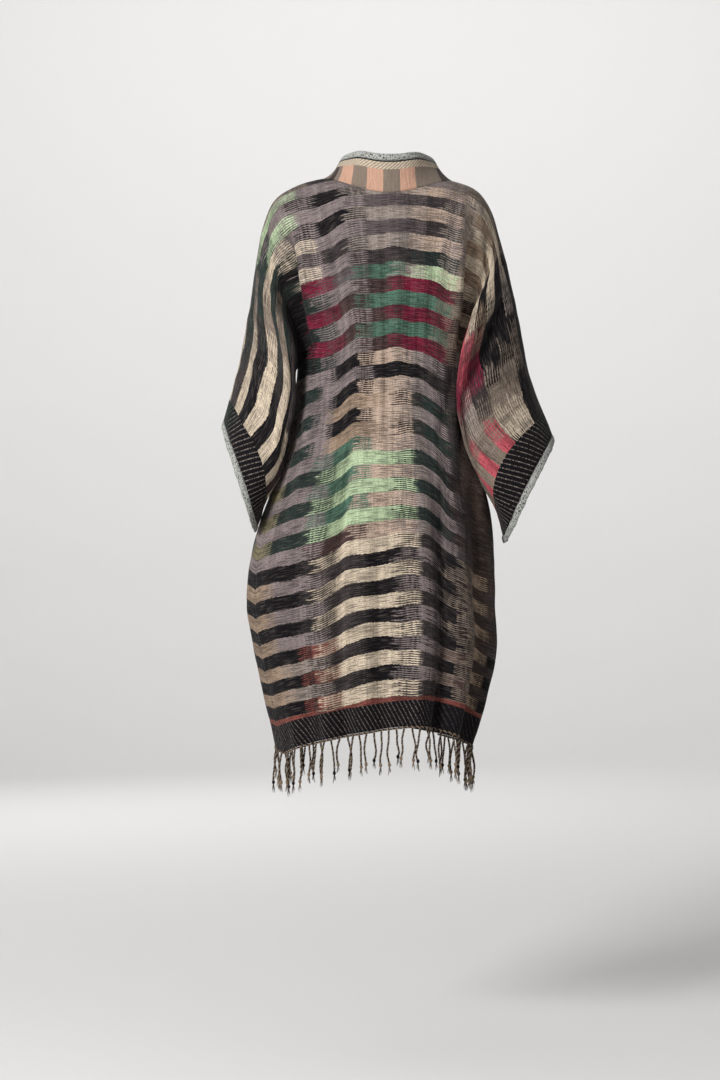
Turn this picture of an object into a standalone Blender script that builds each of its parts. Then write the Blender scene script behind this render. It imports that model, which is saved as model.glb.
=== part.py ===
"""Long open jacket of woven shawl cloth, worn on a general figure and hollow inside.

Metres, +Z up, the fronts face -Y and the wearer's left is +X. The origin is the middle of the neck opening at
shoulder level. Every cloth point is named by its place in the flat cut: across is measured from the centre back
or centre front towards the cuff, positive on the wearer's left, and down from the line over shoulder and arm.
"""
from collections import namedtuple

import bpy
import numpy as np

WALL = 0.0016
SEAM = 0.0004
PIT_GAP = 0.0018
BODY_HALF = 0.290
SPAN_HALF = 0.620
SLEEVE_DEPTH = 0.330
HEM = 1.010
NECK_HALF = 0.115
NECK_DROP = 0.082
BAND_WIDTH = 0.056
EDGING_WIDTH = 0.012
EDGING_WALL = 0.0024
CUFF_EDGING = 0.011
SQUARENESS = 2.35

NECK_COLUMNS = 8
SIDE_COLUMNS = 10
SLEEVE_COLUMNS = 12
UPPER_ROWS = 15
LOWER_ROWS = 18

STRAND_PITCH = 0.0162
STRAND_HALF = 0.0019
STRIP_DEEP = 0.0060
STRIP_WALL = 0.0030

# The line over shoulder and arm, from the neck to the cuff.
Over = namedtuple("Over", "across x y z")
OVER_LEFT = (
    Over(0.000, 0.000, 0.000, 0.004),
    Over(0.060, 0.060, 0.000, 0.003),
    Over(0.115, 0.115, 0.000, -0.004),
    Over(0.165, 0.162, 0.000, -0.017),
    Over(0.210, 0.200, -0.002, -0.042),
    Over(0.255, 0.220, -0.006, -0.088),
    Over(0.300, 0.229, -0.010, -0.132),
    Over(0.400, 0.244, -0.020, -0.230),
    Over(0.500, 0.263, -0.028, -0.328),
    Over(0.620, 0.290, -0.034, -0.426),
)
OVER_RIGHT = (
    Over(0.000, 0.000, 0.000, 0.004),
    Over(0.060, 0.060, 0.000, 0.001),
    Over(0.115, 0.115, 0.000, -0.008),
    Over(0.165, 0.158, 0.000, -0.026),
    Over(0.210, 0.182, -0.002, -0.060),
    Over(0.255, 0.196, -0.006, -0.104),
    Over(0.300, 0.208, -0.010, -0.148),
    Over(0.400, 0.230, -0.018, -0.246),
    Over(0.500, 0.250, -0.026, -0.345),
    Over(0.620, 0.291, -0.034, -0.452),
)

# The seam under the arm, from the armpit to the cuff.
Under = namedtuple("Under", "across x y z")
UNDER_LEFT = (
    Under(0.290, 0.157, 0.050, -0.332),
    Under(0.318, 0.174, 0.050, -0.346),
    Under(0.345, 0.183, 0.044, -0.370),
    Under(0.400, 0.187, 0.032, -0.428),
    Under(0.500, 0.199, 0.020, -0.518),
    Under(0.620, 0.229, 0.014, -0.614),
)
UNDER_RIGHT = (
    Under(0.290, 0.145, 0.000, -0.332),
    Under(0.318, 0.164, 0.008, -0.348),
    Under(0.345, 0.169, 0.014, -0.378),
    Under(0.400, 0.171, 0.018, -0.440),
    Under(0.500, 0.180, 0.020, -0.530),
    Under(0.620, 0.203, 0.012, -0.632),
)

# How far the cloth stands out behind and before the straight line from over to under.
Bulge = namedtuple("Bulge", "across back front")
BULGE_LEFT = (
    Bulge(0.000, 0.074, 0.060),
    Bulge(0.120, 0.072, 0.062),
    Bulge(0.165, 0.068, 0.062),
    Bulge(0.205, 0.052, 0.056),
    Bulge(0.240, 0.030, 0.040),
    Bulge(0.275, 0.040, 0.044),
    Bulge(0.320, 0.078, 0.070),
    Bulge(0.380, 0.098, 0.088),
    Bulge(0.500, 0.104, 0.098),
    Bulge(0.620, 0.108, 0.102),
)
BULGE_RIGHT = (
    Bulge(0.000, 0.074, 0.060),
    Bulge(0.110, 0.072, 0.062),
    Bulge(0.145, 0.064, 0.062),
    Bulge(0.180, 0.044, 0.056),
    Bulge(0.215, 0.030, 0.042),
    Bulge(0.260, 0.048, 0.044),
    Bulge(0.310, 0.088, 0.070),
    Bulge(0.400, 0.102, 0.088),
    Bulge(0.500, 0.104, 0.098),
    Bulge(0.620, 0.108, 0.102),
)

# How far the back of each sleeve leans in towards the body at a height.
Inward = namedtuple("Inward", "height left right")
INWARD = (
    Inward(-0.660, 0.010, 0.020),
    Inward(-0.600, 0.028, 0.048),
    Inward(-0.520, 0.036, 0.060),
    Inward(-0.460, 0.036, 0.068),
    Inward(-0.380, 0.034, 0.070),
    Inward(-0.300, 0.026, 0.058),
    Inward(-0.200, 0.010, 0.030),
    Inward(-0.100, 0.000, 0.000),
)

# Level rings of the body below the armpits. Height is that of the side seams.
Ring = namedtuple("Ring", "down height left right back front arch_back arch_front")
RINGS = (
    Ring(0.330, -0.332, 0.158, 0.145, 0.124, 0.132, 0.046, 0.010),
    Ring(0.400, -0.400, 0.164, 0.150, 0.124, 0.136, 0.046, 0.013),
    Ring(0.480, -0.478, 0.178, 0.158, 0.126, 0.138, 0.047, 0.015),
    Ring(0.560, -0.558, 0.203, 0.172, 0.130, 0.138, 0.048, 0.018),
    Ring(0.630, -0.628, 0.224, 0.184, 0.134, 0.138, 0.049, 0.020),
    Ring(0.690, -0.688, 0.238, 0.186, 0.138, 0.138, 0.050, 0.022),
    Ring(0.760, -0.758, 0.242, 0.185, 0.142, 0.138, 0.051, 0.024),
    Ring(0.850, -0.848, 0.228, 0.187, 0.146, 0.136, 0.052, 0.026),
    Ring(0.930, -0.930, 0.209, 0.169, 0.150, 0.132, 0.053, 0.028),
    Ring(1.010, -1.010, 0.190, 0.144, 0.152, 0.128, 0.054, 0.030),
)
HEM_PEAK = -0.060
SEAM_TURN_LEFT = 0.80
SEAM_TURN_RIGHT = 0.97

# Soft folds as troughs (depth below nought) and ridges, from one cloth place to another.
Fold = namedtuple("Fold", "face across_a down_a across_b down_b width depth")
FOLDS = (
    Fold(1, 0.210, 0.090, 0.255, 0.330, 0.022, -0.024),
    Fold(1, 0.165, 0.110, 0.222, 0.330, 0.018, 0.010),
    Fold(1, -0.165, 0.070, -0.205, 0.330, 0.018, -0.020),
    Fold(1, -0.130, 0.100, -0.170, 0.330, 0.018, 0.009),
    Fold(1, -0.330, 0.080, -0.470, 0.150, 0.018, -0.014),
    Fold(1, -0.360, 0.140, -0.560, 0.200, 0.020, -0.009),
    Fold(1, 0.330, 0.120, 0.560, 0.160, 0.020, -0.008),
    Fold(1, 0.085, 0.430, 0.098, 1.010, 0.022, -0.016),
    Fold(1, 0.045, 0.520, 0.055, 1.010, 0.024, 0.010),
    Fold(1, 0.135, 0.560, 0.140, 1.010, 0.024, 0.009),
    Fold(1, -0.105, 0.560, -0.112, 1.010, 0.018, -0.018),
    Fold(1, -0.065, 0.480, -0.062, 1.010, 0.020, 0.012),
    Fold(1, -0.145, 0.560, -0.152, 1.010, 0.020, 0.010),
    Fold(1, 0.190, 0.600, 0.180, 1.010, 0.026, -0.012),
    Fold(1, -0.190, 0.520, -0.200, 1.010, 0.022, -0.012),
    Fold(1, -0.240, 0.620, -0.238, 1.010, 0.022, 0.009),
    Fold(-1, 0.150, 0.360, 0.160, 1.010, 0.024, -0.010),
    Fold(-1, 0.210, 0.480, 0.220, 1.010, 0.028, 0.010),
    Fold(-1, -0.155, 0.300, -0.165, 1.010, 0.026, -0.011),
    Fold(-1, -0.215, 0.440, -0.220, 1.010, 0.024, 0.009),
    Fold(-1, 0.215, 0.100, 0.262, 0.330, 0.024, -0.014),
    Fold(-1, -0.200, 0.100, -0.250, 0.330, 0.024, -0.014),
    Fold(-1, 0.340, 0.110, 0.540, 0.190, 0.022, -0.010),
    Fold(-1, -0.350, 0.130, -0.560, 0.170, 0.022, -0.010),
)

# How the band stands at the back of the neck and turns flat on the chest. Path is measured from the centre back.
Lean = namedtuple("Lean", "path x y z")
LEANS = (
    Lean(0.000, 0.00, -0.10, 1.00),
    Lean(0.050, -0.06, -0.22, 0.97),
    Lean(0.090, -0.16, -0.56, 0.80),
    Lean(0.150, -0.44, -0.72, 0.52),
    Lean(0.200, -0.74, -0.60, 0.32),
    Lean(0.260, -0.95, -0.25, 0.15),
)

PALETTE = {
    "weave": (0.19, 0.17, 0.16),
    "band": (0.36, 0.26, 0.20),
    "tweed": (0.32, 0.33, 0.31),
    "fringe": (0.10, 0.08, 0.06),
}


def clear_scene():
    for obj in list(bpy.data.objects):
        bpy.data.objects.remove(obj, do_unlink=True)


def column(table, key, name, at):
    """One column of a table as a smooth curve through its rows."""
    keys = np.array([getattr(row, key) for row in table])
    values = np.array([getattr(row, name) for row in table])
    slopes = np.gradient(values, keys)
    first = np.clip(np.searchsorted(keys, at) - 1, 0, len(keys) - 2)
    width = keys[first + 1] - keys[first]
    u = np.clip((at - keys[first]) / width, 0, 1)
    start = values[first] * (1 + 2 * u) * (1 - u) ** 2 + slopes[first] * width * u * (1 - u) ** 2
    end = values[first + 1] * u * u * (3 - 2 * u) + slopes[first + 1] * width * u * u * (u - 1)
    return start + end


def either(across, left, right):
    return np.where(across >= 0, left, right)


def by_side(across, left, right, name):
    """A column read from the wearer's left table or right table."""
    reach = np.abs(across)
    return either(across, column(left, "across", name, reach), column(right, "across", name, reach))


def ease(low, high, at):
    u = np.clip((at - low) / (high - low), 0, 1)
    return u * u * (3 - 2 * u)


def ring_point(across, down, face):
    """A point on the body's level rings, placed by its share of the way from the centre to the side seam."""
    side = np.where(across >= 0, 1.0, -1.0)
    half = either(across, column(RINGS, "down", "left", down), column(RINGS, "down", "right", down))
    turn = either(across, SEAM_TURN_LEFT, SEAM_TURN_RIGHT) * np.pi / 2
    back = column(RINGS, "down", "back", down)
    front = column(RINGS, "down", "front", down)
    share = np.clip(np.abs(across) / BODY_HALF, 0, 1)
    steps = np.linspace(0, 1, 49)
    angles = steps * turn[..., None] if face > 0 else np.pi - steps * (np.pi - turn[..., None])
    power = 2 / SQUARENESS
    xs = half[..., None] * np.abs(np.sin(angles)) ** power
    cosine = np.cos(angles)
    depth = np.where(cosine >= 0, back[..., None], front[..., None])
    ys = np.sign(cosine) * depth * np.abs(cosine) ** power
    legs = np.hypot(np.diff(xs, axis=-1), np.diff(ys, axis=-1))
    run = np.concatenate([np.zeros(legs.shape[:-1] + (1,)), np.cumsum(legs, axis=-1)], axis=-1)
    goal = share * run[..., -1]
    index = np.clip((run < goal[..., None]).sum(axis=-1) - 1, 0, len(steps) - 2)[..., None]
    before = np.take_along_axis(run, index, -1)[..., 0]
    after = np.take_along_axis(run, index + 1, -1)[..., 0]
    part = np.clip((goal - before) / (after - before), 0, 1)
    x = np.take_along_axis(xs, index, -1)[..., 0] * (1 - part) + np.take_along_axis(xs, index + 1, -1)[..., 0] * part
    y = np.take_along_axis(ys, index, -1)[..., 0] * (1 - part) + np.take_along_axis(ys, index + 1, -1)[..., 0] * part
    arch = column(RINGS, "down", "arch_back" if face > 0 else "arch_front", down)
    drape = ease(0.40, 0.95, down)
    peak = HEM_PEAK * drape * (face > 0)
    spread = np.clip(np.abs(across - peak) / (BODY_HALF + np.abs(peak) * np.where(across < peak, -1, 1)), 0, 1)
    z = column(RINGS, "down", "height", down) + arch * (1 - spread ** (2.2 - 0.8 * drape))
    return np.stack([side * x, y, z], -1)


def upper_point(across, down, face):
    """A point above the armpit level or on a sleeve, on a bulging line from the over line to the lower one."""
    side = np.where(across >= 0, 1.0, -1.0)
    reach = np.abs(across)
    u = np.clip(down / SLEEVE_DEPTH, 0, 1)
    over = np.stack([by_side(across, OVER_LEFT, OVER_RIGHT, name) for name in "xyz"], -1)
    under = np.stack([by_side(across, UNDER_LEFT, UNDER_RIGHT, name) for name in "xyz"], -1)
    over[..., 0] *= side
    under[..., 0] *= side
    level = np.full_like(across, SLEEVE_DEPTH)
    ring = ring_point(across, level, face)
    pit = side * BODY_HALF
    seam = np.stack([by_side(pit, UNDER_LEFT, UNDER_RIGHT, name) for name in "xyz"], -1)
    seam[..., 0] *= side
    near = 1 - ease(BODY_HALF, 0.36, reach)
    under = under + (ring_point(pit, level, face) - seam) * near[..., None]
    low = np.where((reach < BODY_HALF)[..., None], ring, under)
    sleeve = ease(0.130, 0.270, reach)
    tube = ease(0.270, 0.340, reach)
    half_turn = (1 - np.cos(np.pi * u)) / 2
    fall = (1 - tube) * (1.18 * u - 0.18 + 0.18 * (1 - u) ** 6) + tube * half_turn
    back_out = (1 - sleeve) * (1 - (1 - u) ** 4.3) + sleeve * fall
    share = np.stack([fall, back_out, fall], -1)
    body_swell = 1.3 * np.sin(np.pi * u) * (1 - u ** 3)
    swell = sleeve * ((1 - tube) * body_swell + tube * np.sin(np.pi * u))
    out = by_side(across, BULGE_LEFT, BULGE_RIGHT, "back" if face > 0 else "front")
    point = over + (low - over) * share
    point[..., 1] += face * out * swell
    if face > 0:
        left = column(INWARD, "height", "left", point[..., 2])
        right = column(INWARD, "height", "right", point[..., 2])
        raised = np.clip(point[..., 1] / 0.1, 0, 1.2) ** 2 * ease(0.170, 0.300, reach)
        raised = raised * (1 - ease(0.520, 0.650, reach))
        point[..., 0] -= side * either(across, left, right) * raised
    return point


def smooth_cloth(across, down, face):
    """The cloth without its folds."""
    upper = upper_point(across, down, face)
    lower = ring_point(across, np.maximum(down, SLEEVE_DEPTH), face)
    high = (down < SLEEVE_DEPTH) | (np.abs(across) > BODY_HALF)
    return np.where(high[..., None], upper, lower)


def facing(across, down, face):
    """Unit normals of the smooth cloth, pointing out of the garment."""
    step = 0.004
    limit = np.where((down >= SLEEVE_DEPTH) & (np.abs(across) <= BODY_HALF), BODY_HALF, SPAN_HALF)
    right = np.clip(across + step, -limit, limit)
    left = np.clip(across - step, -limit, limit)
    along = smooth_cloth(right, down, face) - smooth_cloth(left, down, face)
    fall = smooth_cloth(across, down + step, face) - smooth_cloth(across, np.maximum(down - step, 0), face)
    normal = np.cross(fall, along) * -face
    return normal / np.maximum(np.linalg.norm(normal, axis=-1, keepdims=True), 1e-9)


def fold_height(across, down, face):
    """The sum of all folds at a cloth place. Each fades out at both ends and ends at the hem."""
    total = np.zeros_like(across)
    for fold in FOLDS:
        if fold.face != face:
            continue
        run_across = fold.across_b - fold.across_a
        run_down = fold.down_b - fold.down_a
        length = run_across ** 2 + run_down ** 2
        share = ((across - fold.across_a) * run_across + (down - fold.down_a) * run_down) / length
        off = (across - fold.across_a) * run_down - (down - fold.down_a) * run_across
        off = off / np.sqrt(length) / fold.width
        ends = ease(-0.05, 0.35, share)
        if fold.down_b < HEM:
            ends = ends * (1 - ease(0.75, 1.10, share))
        total = total + fold.depth * ends * np.exp(-off * off)
    below = ease(0.0, 0.03, BODY_HALF - np.abs(across))
    beside = ease(0.0, 0.03, SLEEVE_DEPTH - down)
    pit = ease(0.02, 0.09, np.hypot(np.abs(across) - BODY_HALF, down - SLEEVE_DEPTH))
    return total * np.maximum(below, beside) * pit * ease(0.0, 0.05, down)


def cloth(across, down, face):
    """A cloth point with its folds."""
    across, down = np.broadcast_arrays(np.asarray(across, float), np.asarray(down, float))
    lift = fold_height(across, down, face)[..., None]
    return smooth_cloth(across, down, face) + facing(across, down, face) * lift


def neck_line(across):
    """How far down the back's neckline lies."""
    share = np.clip(np.abs(across) / NECK_HALF, 0, 1)
    return SEAM + NECK_DROP * (1 - share ** 2.0) ** 0.75


def add_piece(name, points, faces, colour, wall=None, offset=0.0):
    mesh = bpy.data.meshes.new(name)
    mesh.from_pydata([tuple(point) for point in points], [], faces)
    mesh.validate()
    obj = bpy.data.objects.new(name, mesh)
    bpy.data.collections["long_jacket"].objects.link(obj)
    material = bpy.data.materials.new(name)
    material.use_nodes = True
    shader = material.node_tree.nodes["Principled BSDF"]
    shader.inputs["Base Color"].default_value = (*PALETTE[colour], 1.0)
    shader.inputs["Roughness"].default_value = 0.85
    mesh.materials.append(material)
    if wall:
        solid = obj.modifiers.new("Wall", "SOLIDIFY")
        solid.thickness = wall
        solid.offset = offset
        solid.use_quality_normals = True
    return obj


def upper_shares():
    """Shares of the way from the over line to the armpit level, closer together at both ends."""
    even = np.linspace(0, 1, UPPER_ROWS + 1)
    return 0.5 * even + 0.25 * (1 - np.cos(np.pi * even))


def lower_downs():
    return np.linspace(SLEEVE_DEPTH, HEM, LOWER_ROWS + 1)[1:]


def ease_pit(across, down):
    """Cloth places with the cut edges drawn back a little round the armpit's corner."""
    reach = np.abs(across)
    away = np.hypot(reach - BODY_HALF, down - SLEEVE_DEPTH)
    extra = PIT_GAP * np.exp(-(away / 0.03) ** 2)
    side_edge = (np.abs(reach - BODY_HALF) < 2 * SEAM) & (down > SLEEVE_DEPTH - 2 * SEAM)
    under_edge = (reach > BODY_HALF - 2 * SEAM) & (np.abs(down - SLEEVE_DEPTH) < 2 * SEAM)
    return across - np.sign(across) * extra * side_edge, down - extra * under_edge


def panel_grid(columns, starts, face):
    """Points and faces of a panel: sleeve columns stop at the armpit level, body columns go on to the hem."""
    upper = upper_shares()
    lower = lower_downs()
    index = {}
    places = []
    for i, (across, start) in enumerate(zip(columns, starts)):
        sleeve_end = SLEEVE_DEPTH - SEAM if abs(across) > BODY_HALF else SLEEVE_DEPTH
        downs = list(start + (sleeve_end - start) * upper)
        if abs(across) <= BODY_HALF:
            downs += list(lower)
        for j, down in enumerate(downs):
            index[i, j] = len(places)
            places.append((across, down))
    faces = []
    for i in range(len(columns) - 1):
        for j in range(UPPER_ROWS + LOWER_ROWS):
            corners = [(i, j), (i + 1, j), (i + 1, j + 1), (i, j + 1)]
            if all(corner in index for corner in corners):
                quad = [index[corner] for corner in corners]
                faces.append(quad[::-1] if face > 0 else quad)
    across, down = ease_pit(*np.array(places).T)
    return cloth(across, down, face), faces


def neck_columns():
    return np.linspace(0.0, NECK_HALF, NECK_COLUMNS + 1)


def side_columns():
    """Column places from the side of the neck out to the cuff."""
    body = np.linspace(NECK_HALF, BODY_HALF - SEAM, SIDE_COLUMNS + 1)
    sleeve = np.linspace(BODY_HALF - SEAM, SPAN_HALF, SLEEVE_COLUMNS + 1)[1:]
    return np.concatenate([body, sleeve])


def build_back():
    half = np.concatenate([neck_columns()[:-1], side_columns()])
    columns = np.concatenate([-half[:0:-1], half])
    points, faces = panel_grid(columns, neck_line(columns), 1)
    add_piece("back", points, faces, "weave", WALL)


def build_front(name, side):
    half = side_columns()
    columns = half if side > 0 else -half[::-1]
    points, faces = panel_grid(columns, np.full(len(columns), SEAM), -1)
    add_piece(name, points, faces, "weave", WALL)


def band_path():
    """Places along the band from the centre back to the wearer's left front hem, with the path run so far."""
    rows = [(across, float(neck_line(across)) - SEAM, 1) for across in neck_columns()]
    downs = SEAM + (SLEEVE_DEPTH - SEAM) * upper_shares()[1:]
    rows += [(NECK_HALF, down, -1) for down in np.concatenate([downs, lower_downs()])]
    return rows


def band_lines(side):
    """Root points of the band and the direction in which it stands from them, on one side."""
    roots = []
    for across, down, face in band_path():
        roots.append(cloth(np.array([side * across]), np.array([down]), face)[0])
    roots = np.array(roots)
    legs = np.linalg.norm(np.diff(roots, axis=0), axis=1)
    run = np.concatenate([[0], np.cumsum(legs)])
    stand = np.stack([column(LEANS, "path", name, run) for name in "xyz"], -1)
    flat = []
    for across, down, face in band_path():
        inner = cloth(np.array([side * (across - 0.004)]), np.array([down]), -1)[0]
        outer = cloth(np.array([side * across]), np.array([down]), -1)[0]
        flat.append((inner - outer) / max(np.linalg.norm(inner - outer), 1e-9))
    stand[:, 0] *= side
    mix = ease(0.20, 0.34, run)[:, None]
    stand = stand * (1 - mix) + np.array(flat) * mix
    stand /= np.linalg.norm(stand, axis=1, keepdims=True)
    return roots, stand


def build_band(name, near, far, rows, colour, wall):
    """A strip along the neckline and both front edges, between two distances from the root line."""
    left_roots, left_stand = band_lines(1)
    right_roots, right_stand = band_lines(-1)
    roots = np.concatenate([right_roots[:0:-1], left_roots])
    stand = np.concatenate([right_stand[:0:-1], left_stand])
    reach = np.linspace(near, far, rows + 1)
    points = (roots[:, None, :] + stand[:, None, :] * reach[None, :, None]).reshape(-1, 3)
    wide = rows + 1
    faces = []
    for i in range(len(roots) - 1):
        for j in range(rows):
            faces.append([i * wide + j, i * wide + j + 1, (i + 1) * wide + j + 1, (i + 1) * wide + j])
    add_piece(name, points, faces, colour, wall)


def build_cuff_edging(name, side):
    """A tweed strip round the cuff, outside the sleeve's edge."""
    downs = SLEEVE_DEPTH * upper_shares()
    back_places = [(d, 1) for d in downs]
    front_places = [(d, -1) for d in downs[-2:0:-1]]
    rings = []
    for down, face in back_places + front_places:
        edge = cloth(np.array([side * SPAN_HALF]), np.array([down]), face)[0]
        inner = cloth(np.array([side * (SPAN_HALF - 0.02)]), np.array([down]), face)[0]
        out = (edge - inner) / np.linalg.norm(edge - inner)
        rings.append([edge + out * 2 * SEAM, edge + out * (2 * SEAM + CUFF_EDGING)])
    points = np.array(rings).reshape(-1, 3)
    total = len(rings)
    faces = []
    for i in range(total):
        j = (i + 1) % total
        quad = [2 * i, 2 * i + 1, 2 * j + 1, 2 * j]
        faces.append(quad if side > 0 else quad[::-1])
    add_piece(name, points, faces, "tweed", WALL)


def strand_rings(number, corners):
    """Rings of four points down one strand, from the four corners of its root, with a knot near the end."""
    root = corners.mean(axis=0)
    long = 0.062 + 0.007 * np.sin(number * 2.4) + 0.004 * np.sin(number * 5.1)
    sway_x = 0.004 * np.sin(number * 1.7)
    sway_y = 0.003 * np.cos(number * 2.9)
    square = np.array([(-1, -1), (1, -1), (1, 1), (-1, 1)], float)
    rings = []
    Level = namedtuple("Level", "share size")
    levels = (Level(0.10, 1.0), Level(0.40, 0.9), Level(0.72, 0.9), Level(0.80, 1.7), Level(0.88, 1.0), Level(1.0, 1.4))
    across = corners[1] - corners[0]
    across[2] = 0.0
    across /= np.linalg.norm(across)
    deep = np.array([-across[1], across[0], 0.0])
    if np.dot(deep, corners[2] - corners[1]) < 0:
        deep = -deep
    for level in levels:
        bend = np.sin(level.share * np.pi * 0.9)
        middle = root + np.array([sway_x * bend, sway_y * bend, -long * level.share])
        size = STRAND_HALF * level.size
        rings.append([middle + across * p * size + deep * q * size for p, q in square])
    return np.array(rings)


def build_fringe(name, start, stop, face):
    """Twisted strands hung from a narrow strip just under the hem."""
    count = int(round(abs(stop - start) / STRAND_PITCH))
    pitch = (stop - start) / count
    edges = []
    for i in range(count):
        middle = start + pitch * (i + 0.5)
        edges += [middle - 0.0022 * np.sign(pitch), middle + 0.0022 * np.sign(pitch)]
    edges = np.array([start] + edges + [stop])
    hem = cloth(edges, np.full(len(edges), HEM), face)
    out = facing(edges, np.full(len(edges), HEM - 0.002), face) * (STRIP_WALL / 2)
    drop = np.array([0, 0, -SEAM])
    deep = np.array([0, 0, -STRIP_DEEP])
    sections = np.stack([hem + drop + out, hem + drop - out, hem + drop + deep - out, hem + drop + deep + out], 1)
    points = list(sections.reshape(-1, 3))
    faces = [[3, 2, 1, 0]]
    last = 4 * (len(edges) - 1)
    faces.append([last, last + 1, last + 2, last + 3])
    for i in range(len(edges) - 1):
        a = 4 * i
        b = a + 4
        for k in range(4):
            m = (k + 1) % 4
            if k == 2 and i % 2 == 1:
                continue
            faces.append([a + k, a + m, b + m, b + k])
        if i % 2 == 0:
            continue
        loop = [a + 2, b + 2, b + 3, a + 3]
        rings = strand_rings(i + (0 if face > 0 else 40), np.array([points[v] for v in loop]))
        for ring in rings:
            fresh = list(range(len(points), len(points) + 4))
            points += list(ring)
            for k in range(4):
                m = (k + 1) % 4
                faces.append([loop[k], loop[m], fresh[m], fresh[k]])
            loop = fresh
        faces.append(loop)
    obj = add_piece(name, points, faces, "fringe")
    obj.data.validate()
    bpy.context.view_layer.objects.active = obj
    obj.select_set(True)
    bpy.ops.object.mode_set(mode="EDIT")
    bpy.ops.mesh.select_all(action="SELECT")
    bpy.ops.mesh.normals_make_consistent(inside=False)
    bpy.ops.object.mode_set(mode="OBJECT")
    obj.select_set(False)


def main():
    clear_scene()
    collection = bpy.data.collections.new("long_jacket")
    bpy.context.scene.collection.children.link(collection)
    build_back()
    build_front("front_left", 1)
    build_front("front_right", -1)
    build_band("neck_band", SEAM * 2, BAND_WIDTH, 3, "band", WALL)
    build_band("neck_edging", BAND_WIDTH + SEAM, BAND_WIDTH + EDGING_WIDTH, 1, "tweed", EDGING_WALL)
    build_cuff_edging("cuff_edging_left", 1)
    build_cuff_edging("cuff_edging_right", -1)
    build_fringe("fringe_back", -BODY_HALF + 0.004, BODY_HALF - 0.004, 1)
    build_fringe("fringe_front_left", BODY_HALF - 0.004, NECK_HALF + 0.004, -1)
    build_fringe("fringe_front_right", -BODY_HALF + 0.004, -NECK_HALF - 0.004, -1)


if __name__ == "__main__":
    main()
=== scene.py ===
"""Long open jacket of woven shawl cloth: its cloth, band, edgings and fringe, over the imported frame.

Every cloth point is named by its place in the flat cut, as in the part's source: across is measured from the
centre towards the cuff, positive on the wearer's left, and down from the line over shoulder and arm. The same
two numbers, in metres, are the piece's own UV map, so bars and threads follow the cloth. Tables of lengths
are written in millimetres, and everything else is in metres.
"""
from collections import namedtuple
from functools import partial

import bpy
import numpy as np
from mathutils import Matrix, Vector


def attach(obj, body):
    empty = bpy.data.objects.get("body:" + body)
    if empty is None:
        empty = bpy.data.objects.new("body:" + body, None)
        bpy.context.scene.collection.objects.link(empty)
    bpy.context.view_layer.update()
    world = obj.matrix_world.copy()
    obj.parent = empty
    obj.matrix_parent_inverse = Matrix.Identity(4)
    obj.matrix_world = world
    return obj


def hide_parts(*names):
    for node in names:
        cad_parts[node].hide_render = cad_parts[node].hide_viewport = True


bl_info = {
    "name": "Long fringed jacket",
    "version": (1, 0, 0),
    "blender": (4, 5, 0),
    "location": "View3D > Sidebar > Jacket",
    "description": "Cloth panels, neck band, tweed edgings and twisted fringe of a long open jacket",
    "category": "Object",
}

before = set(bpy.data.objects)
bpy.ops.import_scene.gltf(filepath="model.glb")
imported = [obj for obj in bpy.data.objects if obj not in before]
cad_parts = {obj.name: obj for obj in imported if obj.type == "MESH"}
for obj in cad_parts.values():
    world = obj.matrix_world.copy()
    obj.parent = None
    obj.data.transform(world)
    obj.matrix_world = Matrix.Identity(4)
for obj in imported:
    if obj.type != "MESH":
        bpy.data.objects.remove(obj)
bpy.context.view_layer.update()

# The cloth's thickness and gaps, the flat cut, and the trims.
WALL = 0.0016
SEAM = 0.0002
PIT_GAP = 0.0018
BODY_HALF = 0.290
SPAN_HALF = 0.620
SLEEVE_DEPTH = 0.330
HEM = 1.010
NECK_HALF = 0.115
NECK_DROP = 0.082
BAND_WIDTH = 0.056
EDGING_WIDTH = 0.012
CUFF_EDGING = 0.0125
SQUARENESS = 2.35
STRAND_PITCH = 0.0162

# The woven pattern: bars, the borders' first lines, and how uneven the threads lie.
BAR = 0.02518
BLOCK_EDGE = 0.0024
BORDER = 0.957
RUST_LINE = 0.008
CUFF_BORDER = 0.575
PINSTRIPE = 0.0086
CUFF_PINSTRIPE = 0.0092
PICK_WANDER = 0.014
RAGGED = 0.0022

# The neck band's pattern: its reach each way, its blocks, and where its dashed edge and stitching lie.
BAND_HALF = 1.3
BAND_BLOCK = 0.030
BAND_SHIFT = 0.009
BAND_TURN = 0.130
BAND_EDGE = 0.041
BAND_STITCH = 0.0536
BAND_DASH = 0.0074
TWILL = 0.003

# What all the yarns share.
BUMP_STRENGTH = 0.75
YARN_SHINE = 0.12
YARN_IOR = 1.5


def table(name, columns, rows, plain=0):
    """Named rows in metres, from rows in millimetres. The first plain columns aren't lengths."""
    kind = namedtuple(name, columns)
    return tuple(kind(*row[:plain], *(value / 1000 for value in row[plain:])) for row in rows)


# The line over shoulder and arm, from the neck to the cuff.
OVER_LEFT = table("Over", "across x y z", (
    (0, 0, 0, 4),
    (60, 60, 0, 3),
    (115, 115, 0, -4),
    (165, 162, 0, -17),
    (210, 200, -2, -42),
    (255, 220, -6, -88),
    (300, 229, -10, -132),
    (400, 244, -20, -230),
    (500, 263, -28, -328),
    (620, 290, -34, -426),
))
OVER_RIGHT = table("Over", "across x y z", (
    (0, 0, 0, 4),
    (60, 60, 0, 1),
    (115, 115, 0, -8),
    (165, 158, 0, -26),
    (210, 182, -2, -60),
    (255, 196, -6, -104),
    (300, 208, -10, -148),
    (400, 230, -18, -246),
    (500, 250, -26, -345),
    (620, 291, -34, -452),
))

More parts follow.
